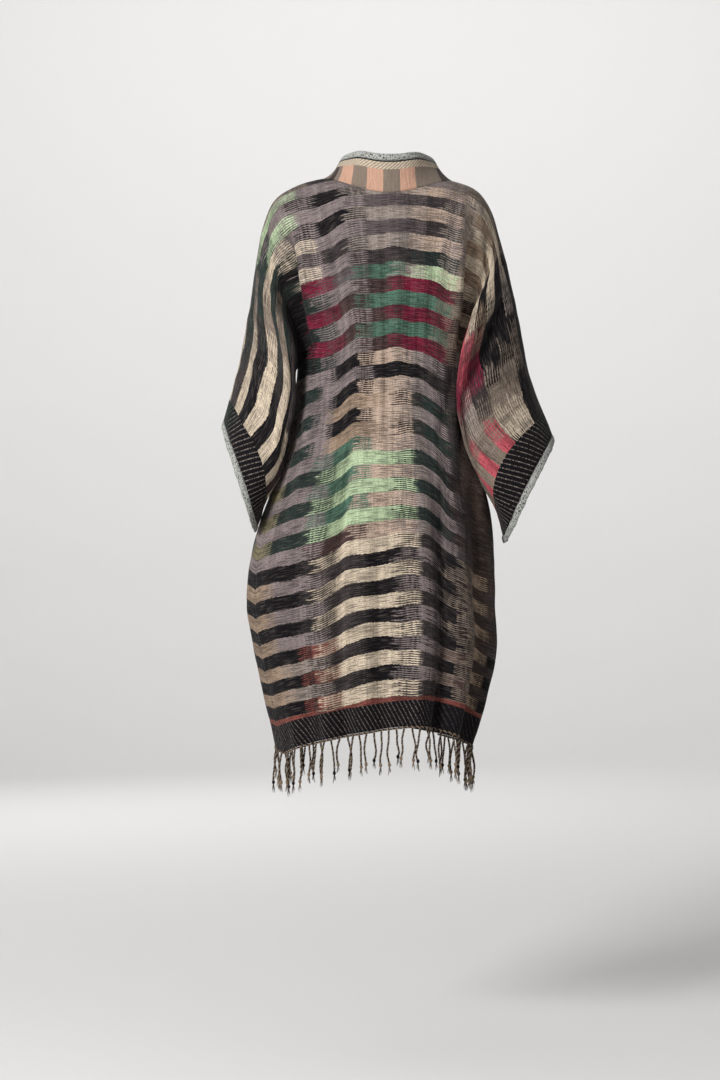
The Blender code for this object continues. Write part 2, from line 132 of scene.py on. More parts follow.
# The seam under the arm, from the armpit to the cuff.
UNDER_LEFT = table("Under", "across x y z", (
    (290, 157, 50, -332),
    (318, 174, 50, -346),
    (345, 183, 44, -370),
    (400, 187, 32, -428),
    (500, 199, 20, -518),
    (620, 229, 14, -614),
))
UNDER_RIGHT = table("Under", "across x y z", (
    (290, 145, 0, -332),
    (318, 164, 8, -348),
    (345, 169, 14, -378),
    (400, 171, 18, -440),
    (500, 180, 20, -530),
    (620, 203, 12, -632),
))

# How far the cloth stands out behind and before the straight line from over to under.
BULGE_LEFT = table("Bulge", "across back front", (
    (0, 74, 60),
    (120, 72, 62),
    (165, 68, 62),
    (205, 52, 56),
    (240, 30, 40),
    (275, 40, 44),
    (320, 78, 70),
    (380, 98, 88),
    (500, 104, 98),
    (620, 108, 102),
))
BULGE_RIGHT = table("Bulge", "across back front", (
    (0, 74, 60),
    (110, 72, 62),
    (145, 64, 62),
    (180, 44, 56),
    (215, 30, 42),
    (260, 48, 44),
    (310, 88, 70),
    (400, 102, 88),
    (500, 104, 98),
    (620, 108, 102),
))

# How far the back of each sleeve leans in towards the body at a height.
INWARD = table("Inward", "height left right", (
    (-660, 10, 20),
    (-600, 28, 48),
    (-520, 36, 60),
    (-460, 36, 68),
    (-380, 34, 70),
    (-300, 26, 58),
    (-200, 10, 30),
    (-100, 0, 0),
))

# Level rings of the body below the armpits. Height is that of the side seams.
RINGS = table("Ring", "down height left right back front arch_back arch_front", (
    (330, -332, 158, 145, 124, 132, 46, 10),
    (400, -400, 164, 150, 124, 136, 46, 13),
    (480, -478, 178, 158, 126, 138, 47, 15),
    (560, -558, 203, 172, 130, 138, 48, 18),
    (630, -628, 224, 184, 134, 138, 49, 20),
    (690, -688, 238, 186, 138, 138, 50, 22),
    (760, -758, 242, 185, 142, 138, 51, 24),
    (850, -848, 228, 187, 146, 136, 52, 26),
    (930, -930, 209, 169, 150, 132, 53, 28),
    (1010, -1010, 190, 144, 152, 128, 54, 30),
))
HEM_PEAK = -0.060
SEAM_TURN_LEFT = 0.80
SEAM_TURN_RIGHT = 0.97

# Soft folds as troughs (depth below nought) and ridges, from one cloth place to another.
FOLD_COLUMNS = "face across_a down_a across_b down_b width depth"
FOLDS = table("Fold", FOLD_COLUMNS, (
    (1, 210, 90, 255, 330, 22, -24),
    (1, 165, 110, 222, 330, 18, 10),
    (1, -165, 70, -205, 330, 18, -20),
    (1, -130, 100, -170, 330, 18, 9),
    (1, -330, 80, -470, 150, 18, -14),
    (1, -360, 140, -560, 200, 20, -9),
    (1, 330, 120, 560, 160, 20, -8),
    (1, 85, 430, 98, 1010, 22, -16),
    (1, 45, 520, 55, 1010, 24, 10),
    (1, 135, 560, 140, 1010, 24, 9),
    (1, -105, 560, -112, 1010, 18, -18),
    (1, -65, 480, -62, 1010, 20, 12),
    (1, -145, 560, -152, 1010, 20, 10),
    (1, 190, 600, 180, 1010, 26, -12),
    (1, -190, 520, -200, 1010, 22, -12),
    (1, -240, 620, -238, 1010, 22, 9),
    (-1, 150, 360, 160, 1010, 24, -10),
    (-1, 210, 480, 220, 1010, 28, 10),
    (-1, -155, 300, -165, 1010, 26, -11),
    (-1, -215, 440, -220, 1010, 24, 9),
    (-1, 215, 100, 262, 330, 24, -14),
    (-1, -200, 100, -250, 330, 24, -14),
    (-1, 340, 110, 540, 190, 22, -10),
    (-1, -350, 130, -560, 170, 22, -10),
), plain=1)

# Small creases that are too fine for the solids.
CREASES = table("Crease", FOLD_COLUMNS, (
    (1, 226, 130, 268, 350, 10, -10),
    (1, -188, 110, -232, 350, 10, -10),
    (1, 112, 420, 122, 1010, 18, -6),
    (1, -120, 450, -128, 1010, 16, -7),
    (1, 10, 95, 6, 520, 6, -5),
    (1, 36, 100, 33, 380, 6, -4),
    (1, -66, 140, -74, 460, 6, -4.6),
    (1, -20, 100, -30, 420, 11, 2.6),
    (1, -48, 120, -52, 480, 9, -2.8),
    (1, 60, 130, 52, 460, 10, -2.4),
    (1, 105, 80, 128, 330, 11, -3.4),
    (1, 135, 120, 150, 420, 10, 3),
    (1, 175, 350, 95, 520, 13, -4.8),
    (1, 205, 360, 140, 600, 14, -5.6),
    (1, 235, 370, 190, 660, 14, 5),
    (1, -85, 110, -100, 380, 10, -3),
    (1, -180, 340, -110, 540, 13, -4.8),
    (1, -215, 360, -150, 620, 14, -5.6),
    (1, -250, 380, -215, 640, 13, 4.8),
    (1, 20, 600, 14, 1010, 14, -4.6),
    (1, -20, 640, -26, 1010, 13, 3.6),
    (1, -85, 620, -88, 1010, 10, 4),
    (1, 115, 640, 118, 1010, 12, 3.6),
    (1, 160, 700, 158, 1010, 12, -4),
    (1, 225, 620, 222, 1010, 15, 4.8),
    (1, -170, 700, -172, 1010, 12, 4),
    (1, -220, 660, -222, 1010, 13, -4),
    (1, 240, 40, 300, 120, 10, -4),
    (1, 280, 110, 420, 150, 12, -5.2),
    (1, 350, 60, 600, 80, 13, -5),
    (1, 420, 100, 600, 120, 12, 4.4),
    (1, 300, 190, 560, 230, 14, -6.2),
    (1, 340, 240, 580, 280, 14, 5),
    (1, -205, 95, -235, 150, 7, -5.2),
    (1, -225, 75, -262, 130, 7, 4.2),
    (1, -240, 150, -300, 200, 9, -5.2),
    (1, -260, 50, -420, 90, 12, -4.8),
    (1, -300, 130, -470, 190, 11, 5.4),
    (1, -400, 60, -590, 80, 13, 4.6),
    (1, -380, 210, -580, 260, 14, -6),
    (-1, 130, 60, 160, 340, 12, -4),
    (-1, 175, 100, 190, 420, 13, 4),
    (-1, 250, 380, 200, 640, 14, -5),
    (-1, 130, 420, 134, 1010, 12, 3.6),
    (-1, 185, 560, 190, 1010, 13, -4.2),
    (-1, 255, 600, 262, 1010, 13, 4),
    (-1, -130, 70, -155, 330, 12, -4),
    (-1, -250, 390, -205, 620, 14, -5),
    (-1, -185, 540, -192, 1010, 13, 4),
    (-1, -250, 640, -255, 1010, 13, -4),
    (-1, 300, 70, 520, 90, 13, -5),
    (-1, 350, 220, 580, 260, 14, -5.4),
    (-1, -290, 80, -500, 100, 13, -5),
    (-1, -360, 220, -590, 250, 14, -5.4),
), plain=1)

# How the band stands at the back of the neck and turns flat on the chest. Path is run from the centre back.
Lean = namedtuple("Lean", "path x y z")
LEANS = (
    Lean(0.000, 0.00, -0.10, 1.00),
    Lean(0.050, -0.06, -0.22, 0.97),
    Lean(0.090, -0.16, -0.56, 0.80),
    Lean(0.150, -0.44, -0.72, 0.52),
    Lean(0.200, -0.74, -0.60, 0.32),
    Lean(0.260, -0.95, -0.25, 0.15),
)

# How far the bars have slid down the draped back, by line across and place down. The bars keep their order,
# and run straight from one line to the next, so they turn at the folds.
SLIDE_DOWNS = (0.06, 0.15, 0.24, 0.33, 0.42, 0.54, 0.64, 0.72, 0.80, 0.87, 0.93, 0.955)
SLIDES = table("Slide", "across d06 d15 d24 d33 d42 d54 d64 d72 d80 d87 d93 d95", (
    (-300, 0, 0, 0, 0, 24, 46, 60, 54, 42, 30, 8, 0),
    (-230, 0, 0, 0, 6, 24, 46, 60, 54, 42, 30, 8, 0),
    (-190, 0, 4, 8, 10, 24, 44, 58, 50, 34, 22, 6, 0),
    (-150, 4, 12, 20, 12, 24, 40, 54, 40, 28, 18, 4, 0),
    (-130, 8, 16, 20, 10, 22, 34, 40, 28, 22, 16, 2, 0),
    (-110, 10, 11, 14, 8, 15, 24, 16, 11, 10, 9, 0, 0),
    (-70, 10, 10, 8, 3, 3, 8, 3, -2, 1, 3, -3, 0),
    (0, 12, 10, 7, 4, 5, 6, 3, 2, 1, -3, -3, 0),
    (85, 14, 14, 10, 6, 4, 4, 3, 6, 6, 1, -2, 0),
    (100, 16, 18, 15, 12, 6, 10, 14, 14, 12, 6, -2, 0),
    (130, 18, 30, 24, 24, 20, 24, 26, 26, 22, 14, 0, 0),
    (150, 18, 32, 26, 26, 24, 27, 27, 28, 26, 16, 1, 0),
    (190, 10, 26, 24, 22, 24, 28, 28, 26, 25, 16, 3, 0),
    (250, 0, 8, 6, 6, 22, 28, 28, 26, 24, 16, 4, 0),
    (300, 0, 0, 0, 4, 20, 28, 28, 26, 23, 15, 4, 0),
))

# The left sleeve's bars have slid too, because it hangs forward.
SLEEVE_SLIDE = 0.018

# Yarn colours as sRGB hex.
YARNS = {
    "black": "0e0c0f",
    "charcoal": "352f2f",
    "slate": "534a4b",
    "plum": "40302f",
    "bottle": "232d2a",
    "brown": "392e29",
    "mauve": "766b6a",
    "ash": "867b74",
    "taupe": "786b60",
    "olive": "6f674f",
    "fawn": "8c7866",
    "cream": "b9aa96",
    "rose": "ab9686",
    "salmon": "b58f7a",
    "mint": "9fb08e",
    "green": "466354",
    "burgundy": "66182e",
    "rust": "6c3a33",
    "coral": "b4505a",
    "tan": "7a6957",
    "tweed_light": "bdbdb6",
    "tweed_green": "80847f",
    "tweed_dark": "2c2f2e",
}

# Kinds of node: the settings each is used with, and the sockets that its values fill in order.
Kind = namedtuple("Kind", "node settings sockets")
(
    ABSOLUTE, ADD, DIVIDE, FLOOR, FLOORED_MODULO, FRACT, GREATER_THAN, LESS_THAN, MODULO, MULTIPLY,
    MULTIPLY_ADD, PINGPONG, SINE, SUBTRACT,
) = [Kind("ShaderNodeMath", {"operation": operation}, (0, 1, 2)) for operation in (
    "ABSOLUTE", "ADD", "DIVIDE", "FLOOR", "FLOORED_MODULO", "FRACT", "GREATER_THAN", "LESS_THAN", "MODULO",
    "MULTIPLY", "MULTIPLY_ADD", "PINGPONG", "SINE", "SUBTRACT",
)]
BUMP = Kind("ShaderNodeBump", {}, ("Strength", "Distance", "Height"))
CHANCE = Kind("ShaderNodeTexWhiteNoise", {"noise_dimensions": "1D"}, ("W",))
CHART = Kind("ShaderNodeUVMap", {"uv_map": "cut"}, ())
FUZZ = Kind("ShaderNodeTexNoise", {}, ("Vector", "Scale", "Detail"))
MAPPING = Kind("ShaderNodeMapping", {}, ("Vector", "Scale", "Location"))
MIX = Kind("ShaderNodeMix", {"data_type": "RGBA"}, (0, 6, 7))
NOISE = Kind("ShaderNodeTexNoise", {"noise_dimensions": "2D"}, ("Vector", "Scale", "Detail"))
OUTPUT = Kind("ShaderNodeOutputMaterial", {}, (0,))
PARTS = Kind("ShaderNodeSeparateXYZ", {}, (0,))
PLACE = Kind("ShaderNodeTexCoord", {}, ())
POINT = Kind("ShaderNodeCombineXYZ", {}, (0, 1))
RAMP = Kind("ShaderNodeValToRGB", {}, (0,))
RANGE = Kind("ShaderNodeMapRange", {}, (0, 1, 2, 3, 4))
SHADER = Kind("ShaderNodeBsdfPrincipled", {}, (
    "Base Color", "Roughness", "Specular IOR Level", "IOR", "Sheen Weight", "Sheen Roughness", "Normal",
))
TONE = Kind("ShaderNodeHueSaturation", {}, ("Value", "Color"))

# Uneven patterns of the cloths, in spots to a metre across and down. Detail adds finer ones.
Grain = namedtuple("Grain", "name across down detail start", defaults=((0.0, 0.0, 0.0),))
CLOTH_GRAINS = (
    Grain("slow wander", 13.0, 7.0, 1.0),
    Grain("quick wander", 210.0, 40.0, 0.0),
    Grain("pale flecks", 40.0, 560.0, 1.0),
    Grain("dark threads", 34.0, 520.0, 1.5, (3.0, 7.0, 0.0)),
    Grain("slubs", 11.0, 30.0, 1.0),
    Grain("upright ribs", 95.0, 2.6, 2.0),
    Grain("grain", 300.0, 640.0, 0.0),
)
THREAD_GRAINS = (Grain("warp", 330.0, 24.0, 0.0), Grain("weft", 60.0, 420.0, 0.0))
DASH_GRAINS = (Grain("dashes", 120.0, 560.0, 0.0),)
BAND_GRAINS = (Grain("threads", 640.0, 50.0, 1.0), Grain("grain", 700.0, 700.0, 0.0))
TAPE_GRAINS = (Grain("flecks", 420.0, 480.0, 2.0),)

# Bars of colour. Rows of bars lie across the cloth, one bar deep, and the two kinds of row take turns. Each
# block is its place across in millimetres and its yarn, from the wearer's left cuff to the right one.
Zone = namedtuple("Zone", "first_row odd even")
ZONES = (
    Zone(
        0,
        "620 charcoal, 460 bottle, 300 mint, 195 mauve, 65 slate, -60 mauve, -125 taupe, -260 black, "
        "-460 charcoal",
        "620 cream, 420 mauve, 300 taupe, 170 black, 65 ash, -125 taupe, -200 bottle, -300 ash, "
        "-360 black, -460 bottle",
    ),
    Zone(
        2,
        "620 black, 460 charcoal, 410 bottle, 265 mint, 205 mauve, 65 slate, -55 charcoal, -125 ash, "
        "-165 fawn, -250 black, -440 taupe, -530 cream, -575 ash",
        "620 cream, 440 taupe, 350 bottle, 270 mauve, 165 black, 65 ash, -55 rose, -125 mauve, "
        "-175 cream, -300 ash, -360 black, -420 taupe, -460 black",
    ),
    Zone(
        4,
        "620 black, 460 charcoal, 410 bottle, 235 cream, 175 mauve, 65 slate, -55 charcoal, -125 ash, "
        "-165 fawn, -250 black, -340 fawn, -380 burgundy, -450 charcoal, -500 taupe, -540 coral",
        "620 cream, 420 taupe, 320 cream, 240 mauve, 165 black, 65 ash, -55 rose, -125 mauve, -175 cream, "
        "-340 black, -460 taupe, -530 cream, -580 black",
    ),
    Zone(
        6,
        "620 black, 460 charcoal, 410 bottle, 225 cream, 175 mauve, 65 charcoal, -55 bottle, -125 ash, "
        "-165 fawn, -250 charcoal, -310 coral, -380 burgundy, -470 taupe, -530 coral",
        "620 cream, 420 taupe, 310 black, 215 mauve, 165 charcoal, 65 ash, -55 rose, -125 mauve, "
        "-175 cream, -330 charcoal, -370 coral, -420 burgundy, -460 ash, -510 taupe",
    ),
    # In rows 8 to 13 the left sleeve is black and charcoal from 0.22 to 0.50 m across: its own dark bars and
    # painted shade by the body.
    Zone(
        8,
        "620 plum, 530 black, 225 bottle, 165 mauve, 65 plum, -15 burgundy, -125 plum, -160 taupe, "
        "-220 charcoal, -330 burgundy, -460 charcoal, -510 coral",
        "620 cream, 500 charcoal, 340 black, 215 burgundy, 150 slate, 65 green, -20 ash, -60 mint, "
        "-125 cream, -300 taupe, -350 coral, -400 taupe, -580 fawn",
    ),
    Zone(
        10,
        "620 plum, 530 black, 225 bottle, 165 mauve, 65 plum, -15 burgundy, -125 plum, -160 taupe, "
        "-220 charcoal, -360 burgundy, -440 charcoal, -530 coral",
        "620 cream, 500 charcoal, 340 black, 235 burgundy, 145 plum, 65 green, -125 taupe, -200 cream, "
        "-300 taupe, -410 coral, -460 taupe, -570 fawn",
    ),
    Zone(
        14,
        "620 mauve, 260 bottle, 190 mauve, 60 black, -100 charcoal, -150 brown",
        "620 taupe, 260 mauve, 150 black, 60 rose, -33 ash, -60 mauve, -125 charcoal, -170 brown",
    ),
    Zone(
        16,
        "620 mauve, 260 bottle, 190 mauve, 150 fawn, 35 rose, -33 charcoal, -60 bottle, -150 brown",
        "620 taupe, 260 mauve, 150 black, 60 rose, -33 ash, -60 mauve, -125 charcoal, -170 brown",
    ),
    Zone(
        20,
        "620 olive, 255 bottle, 140 mint, -33 bottle, -115 black, -145 brown, -240 bottle",
        "620 mauve, 150 green, 60 rose, -33 ash, -60 mauve, -125 charcoal, -170 brown",
    ),
    Zone(
        26,
        "620 black, 240 bottle, 125 cream, -38 charcoal, -110 black, -155 taupe, -185 fawn, -215 brown",
        "620 mauve, 150 plum, 60 rose, -33 ash, -60 mauve, -125 charcoal, -170 brown",
    ),
    Zone(
        27,
        "620 black, 160 charcoal, 125 cream, -38 charcoal, -110 black, -155 taupe, -185 fawn, -215 brown",
        "620 fawn, 240 mauve, 140 charcoal, 55 black, -38 mauve, -100 black, -130 taupe, -170 brown, "
        "-220 charcoal",
    ),
    Zone(
        33,
        "620 black, 175 rust, 125 cream, -38 charcoal, -110 black, -155 taupe, -185 fawn, -215 black",
        "620 fawn, 215 ash, 140 charcoal, 55 black, -38 mauve, -100 plum, -130 taupe, -170 brown, "
        "-220 charcoal",
    ),
)

# How far the thread ends of neighbouring blocks reach into each other, from a place across to the next one.
FEATHER_ZONES = (("top", 0), ("middle", 14), ("waist", 20), ("low", 27))
FEATHERS = table("Feather", "across top middle waist low", (
    (620, 50, 10, 10, 10),
    (500, 70, 10, 10, 10),
    (390, 60, 10, 10, 10),
    (300, 50, 20, 20, 30),
    (215, 50, 20, 20, 20),
    (195, 60, 20, 50, 50),
    (110, 50, 10, 50, 50),
    (90, 50, 50, 50, 30),
    (20, 40, 50, 50, 50),
    (-80, 50, 40, 40, 30),
    (-135, 50, 30, 30, 50),
    (-175, 30, 20, 20, 20),
    (-230, 50, 30, 30, 30),
    (-290, 50, 10, 10, 10),
    (-430, 40, 10, 10, 10),
))

# Blocks of the neck band, from the left front hem round the neck to the right one. The two kinds take turns.
BAND_LIGHT = (
    "1300 ash, 1100 cream, 920 rose, 740 cream, 560 mint, 400 cream, 220 taupe, 120 salmon, -66 taupe, "
    "-220 cream, -400 mint, -560 cream, -740 rose, -920 cream, -1100 ash"
)
BAND_DARK = (
    "1300 charcoal, 1100 black, 920 burgundy, 740 black, 560 green, 400 charcoal, 220 brown, 115 taupe, "
    "-97 brown, -220 charcoal, -400 green, -560 black, -740 burgundy, -920 black, -1100 charcoal"
)


def column(rows, key, name, at):
    """One column of a table as a smooth curve through its rows."""
    keys = np.array([getattr(row, key) for row in rows])
    values = np.array([getattr(row, name) for row in rows])
    slopes = np.gradient(values, keys)
    first = np.clip(np.searchsorted(keys, at) - 1, 0, len(keys) - 2)
    width = keys[first + 1] - keys[first]
    u = np.clip((at - keys[first]) / width, 0, 1)
    start = values[first] * (1 + 2 * u) * (1 - u) ** 2 + slopes[first] * width * u * (1 - u) ** 2
    end = values[first + 1] * u * u * (3 - 2 * u) + slopes[first + 1] * width * u * u * (u - 1)
    return start + end


def either(across, left, right):
    return np.where(across >= 0, left, right)


def by_side(across, left, right, name):
    """A column read from the wearer's left table or right table."""
    reach = np.abs(across)
    return either(across, column(left, "across", name, reach), column(right, "across", name, reach))


def ease(low, high, at):
    u = np.clip((at - low) / (high - low), 0, 1)
    return u * u * (3 - 2 * u)


def unit(vectors):
    return vectors / np.maximum(np.linalg.norm(vectors, axis=-1, keepdims=True), 1e-9)


def path_run(points):
    """The path run so far at each point of a line."""
    legs = np.linalg.norm(np.diff(points, axis=0), axis=1)
    return np.concatenate([[0], np.cumsum(legs)])


def ring_point(across, down, face):
    """A point on the body's level rings, placed by its share of the way from the centre to the side seam."""
    side = np.where(across >= 0, 1.0, -1.0)
    half = either(across, column(RINGS, "down", "left", down), column(RINGS, "down", "right", down))
    turn = either(across, SEAM_TURN_LEFT, SEAM_TURN_RIGHT) * np.pi / 2
    back = column(RINGS, "down", "back", down)
    front = column(RINGS, "down", "front", down)
    share = np.clip(np.abs(across) / BODY_HALF, 0, 1)
    steps = np.linspace(0, 1, 49)
    angles = steps * turn[..., None] if face > 0 else np.pi - steps * (np.pi - turn[..., None])
    power = 2 / SQUARENESS
    xs = half[..., None] * np.abs(np.sin(angles)) ** power
    cosine = np.cos(angles)
    depth = np.where(cosine >= 0, back[..., None], front[..., None])
    ys = np.sign(cosine) * depth * np.abs(cosine) ** power
    legs = np.hypot(np.diff(xs, axis=-1), np.diff(ys, axis=-1))
    run = np.concatenate([np.zeros(legs.shape[:-1] + (1,)), np.cumsum(legs, axis=-1)], axis=-1)
    goal = share * run[..., -1]
    index = np.clip((run < goal[..., None]).sum(axis=-1) - 1, 0, len(steps) - 2)[..., None]
    before = np.take_along_axis(run, index, -1)[..., 0]
    after = np.take_along_axis(run, index + 1, -1)[..., 0]
    part = np.clip((goal - before) / (after - before), 0, 1)
    x, y = [
        np.take_along_axis(values, index, -1)[..., 0] * (1 - part)
        + np.take_along_axis(values, index + 1, -1)[..., 0] * part
        for values in (xs, ys)
    ]
    arch = column(RINGS, "down", "arch_back" if face > 0 else "arch_front", down)
    drape = ease(0.40, 0.95, down)
    peak = HEM_PEAK * drape * (face > 0)
    half = BODY_HALF + np.abs(peak) * np.where(across < peak, -1, 1)
    spread = np.clip(np.abs(across - peak) / half, 0, 1)
    z = column(RINGS, "down", "height", down) + arch * (1 - spread ** (2.2 - 0.8 * drape))
    return np.stack([side * x, y, z], -1)


def upper_point(across, down, face):
    """A point above the armpits or on a sleeve, on a bulging line from the over line to the lower one."""
    side = np.where(across >= 0, 1.0, -1.0)
    reach = np.abs(across)
    u = np.clip(down / SLEEVE_DEPTH, 0, 1)
    over = np.stack([by_side(across, OVER_LEFT, OVER_RIGHT, name) for name in "xyz"], -1)
    under = np.stack([by_side(across, UNDER_LEFT, UNDER_RIGHT, name) for name in "xyz"], -1)
    over[..., 0] *= side
    under[..., 0] *= side
    level = np.full_like(across, SLEEVE_DEPTH)
    ring = ring_point(across, level, face)
    pit = side * BODY_HALF
    seam = np.stack([by_side(pit, UNDER_LEFT, UNDER_RIGHT, name) for name in "xyz"], -1)
    seam[..., 0] *= side
    near = 1 - ease(BODY_HALF, 0.36, reach)
    under = under + (ring_point(pit, level, face) - seam) * near[..., None]
    low = np.where((reach < BODY_HALF)[..., None], ring, under)
    sleeve = ease(0.130, 0.270, reach)
    tube = ease(0.270, 0.340, reach)
    half_turn = (1 - np.cos(np.pi * u)) / 2
    fall = (1 - tube) * (1.18 * u - 0.18 + 0.18 * (1 - u) ** 6) + tube * half_turn
    back_out = (1 - sleeve) * (1 - (1 - u) ** 4.3) + sleeve * fall
    share = np.stack([fall, back_out, fall], -1)
    body_swell = 1.3 * np.sin(np.pi * u) * (1 - u ** 3)
    swell = sleeve * ((1 - tube) * body_swell + tube * np.sin(np.pi * u))
    out = by_side(across, BULGE_LEFT, BULGE_RIGHT, "back" if face > 0 else "front")
    point = over + (low - over) * share
    point[..., 1] += face * out * swell
    if face > 0:
        left = column(INWARD, "height", "left", point[..., 2])
        right = column(INWARD, "height", "right", point[..., 2])
        raised = np.clip(point[..., 1] / 0.1, 0, 1.2) ** 2 * ease(0.170, 0.300, reach)
        raised = raised * (1 - ease(0.520, 0.650, reach))
        point[..., 0] -= side * either(across, left, right) * raised
    return point


def smooth_cloth(across, down, face):
    """The cloth without its folds."""
    upper = upper_point(across, down, face)
    lower = ring_point(across, np.maximum(down, SLEEVE_DEPTH), face)
    high = (down < SLEEVE_DEPTH) | (np.abs(across) > BODY_HALF)
    return np.where(high[..., None], upper, lower)


def facing(across, down, face):
    """Unit normals of the smooth cloth, pointing out of the garment."""
    step = 0.004
    limit = np.where((down >= SLEEVE_DEPTH) & (np.abs(across) <= BODY_HALF), BODY_HALF, SPAN_HALF)
    right = np.clip(across + step, -limit, limit)
    left = np.clip(across - step, -limit, limit)
    along = smooth_cloth(right, down, face) - smooth_cloth(left, down, face)
    fall = smooth_cloth(across, down + step, face) - smooth_cloth(across, np.maximum(down - step, 0), face)
    return unit(np.cross(fall, along) * -face)


def fold_height(folds, across, down, face):
    """The sum of a table's folds at a cloth place. Each fades out at both ends and ends at the hem."""
    total = np.zeros_like(across)
    for fold in folds:
        if fold.face != face:
            continue
        run_across = fold.across_b - fold.across_a
        run_down = fold.down_b - fold.down_a
        length = run_across ** 2 + run_down ** 2
        share = ((across - fold.across_a) * run_across + (down - fold.down_a) * run_down) / length
        off = (across - fold.across_a) * run_down - (down - fold.down_a) * run_across
        off = off / np.sqrt(length) / fold.width
        ends = ease(-0.05, 0.35, share)
        if fold.down_b < HEM:
            ends = ends * (1 - ease(0.75, 1.10, share))
        total = total + fold.depth * ends * np.exp(-off * off)
    below = ease(0.0, 0.03, BODY_HALF - np.abs(across))
    beside = ease(0.0, 0.03, SLEEVE_DEPTH - down)
    pit = ease(0.02, 0.09, np.hypot(np.abs(across) - BODY_HALF, down - SLEEVE_DEPTH))
    return total * np.maximum(below, beside) * pit * ease(0.0, 0.05, down)


def ripple(across, down):
    """The slight unevenness of a loosely woven cloth, about a millimetre high."""
    slow = np.sin(across * 61 + 1.7 * np.sin(down * 13)) * np.sin(down * 37 + 1.3 * np.sin(across * 17))
    quick = np.sin(across * 143 + 2.1 * np.sin(down * 29)) * np.sin(down * 71 + across * 23)
    return 0.0009 * slow + 0.0005 * quick


def cloth(across, down, face):
    """A cloth point with all its folds and creases."""
    across, down = np.broadcast_arrays(np.asarray(across, float), np.asarray(down, float))
    calm = ease(0.02, 0.07, np.hypot(np.abs(across) - BODY_HALF, down - SLEEVE_DEPTH))
    top = ease(0.0, 0.03, down - neck_line(across)) if face > 0 else ease(0.0, 0.03, down)
    edge = top * ease(0.0, 0.03, HEM - down) * ease(0.0, 0.02, SPAN_HALF - np.abs(across))
    lift = fold_height(FOLDS, across, down, face) + fold_height(CREASES, across, down, face) * top
    lift = lift + ripple(across, down) * calm * edge
    return smooth_cloth(across, down, face) + facing(across, down, face) * lift[..., None]


def slide(across, down):
    """How far the bars have slid down at a place of the back."""
    lines = np.array([row.across for row in SLIDES])
    by_line = np.array([np.interp(down, SLIDE_DOWNS, row[1:]) for row in SLIDES])
    spot = np.clip(np.searchsorted(lines, across) - 1, 0, len(lines) - 2)
    part = np.clip((across - lines[spot]) / (lines[spot + 1] - lines[spot]), 0, 1)
    index = np.arange(len(across))
    slid = by_line[spot, index] * (1 - part) + by_line[spot + 1, index] * part
    slid = slid * (1 - ease(BODY_HALF, 0.33, np.abs(across))) + SLEEVE_SLIDE * ease(0.33, 0.44, across)
    return slid * ease(0.0, 0.06, down)


def neck_line(across):
    """How far down the back's neckline lies."""
    share = np.clip(np.abs(across) / NECK_HALF, 0, 1)
    return SEAM + NECK_DROP * (1 - share ** 2.0) ** 0.75


def linear(hex_code):
    """An sRGB hex colour as the linear colour that the shaders take."""
    parts = [int(hex_code[i:i + 2], 16) / 255 for i in (0, 2, 4)]
    return tuple(p / 12.92 if p <= 0.04045 else ((p + 0.055) / 1.055) ** 2.4 for p in parts) + (1.0,)


def yarn(name):
    """A yarn's colour, read from the panel's settings where they hold it."""
    colours = bpy.context.scene.jacket_colours
    if name in colours.bl_rna.properties:
        return tuple(getattr(colours, name)) + (1.0,)
    return linear(YARNS[name])


def add_node(tree, kind, *values, stops=None, interpolation="LINEAR"):
    """Adds a node with its settings, and fills or links the kind's sockets in order. Stops fill a ramp."""
    made = tree.nodes.new(kind.node)
    for name, value in kind.settings.items():
        setattr(made, name, value)
    for key, value in zip(kind.sockets, values):
        if isinstance(value, bpy.types.Node):
            value = next(output for output in value.outputs if output.enabled)
        if isinstance(value, bpy.types.NodeSocket):
            tree.links.new(value, made.inputs[key])
        else:
            made.inputs[key].default_value = value
    if stops:
        elements = made.color_ramp.elements
        while len(elements) < len(stops):
            elements.new(0.5)
        for element, (position, colour) in zip(elements, stops):
            element.position = position
            element.color = colour
        made.color_ramp.interpolation = interpolation
    return made


def new_material(name):
    """A material without nodes, and what adds one to it."""
    material = bpy.data.materials.new(name)
    material.use_nodes = True
    material.node_tree.nodes.clear()
    return material, partial(add_node, material.node_tree)


def new_cloth(name):
    """A material, what adds its nodes, the chart of the flat cut, and the chart's two numbers."""
    material, add = new_material(name)
    chart = add(CHART)
    place = add(PARTS, chart)
    return material, add, chart, place.outputs[0], place.outputs[1]


def finish_cloth(add, colour, height, roughness, sheen, bump_distance):
    """The shader and output that all the cloths share. Sheen is the short nap of the yarn."""
    bump = add(BUMP, BUMP_STRENGTH, bump_distance, height)
    add(OUTPUT, add(SHADER, colour, roughness, YARN_SHINE, YARN_IOR, sheen, 0.5, bump))


def grains(add, chart, rows):
    """Uneven patterns, one for each row of a table."""
    spots = [add(MAPPING, chart, (row.across, row.down, 1.0), row.start) for row in rows]
    return [add(NOISE, spot, 1.0, row.detail) for spot, row in zip(spots, rows)]


def pinstripes(add, along, over, pitch):
    """Fine slanting dashes on black, as woven along the borders. Returns their mask."""
    lean = add(MULTIPLY_ADD, over, 0.62, along)
    line = add(LESS_THAN, add(FRACT, add(DIVIDE, lean, pitch)), 0.21)
    dash = grains(add, add(POINT, along, over), DASH_GRAINS)[0]
    return add(MULTIPLY, line, add(MULTIPLY_ADD, dash, 1.7, -0.42))


def weave_height(add, chart):
    """Raised threads both ways. Real ones are about 1 mm apart, and these 2.5 mm so that they show."""
    return add(ADD, *grains(add, chart, THREAD_GRAINS))


def blocks(chart):
    """A chart's blocks as pairs of a place in metres and a yarn."""
    pairs = [block.split() for block in chart.split(",")]
    return [(float(place) / 1000, name) for place, name in pairs]


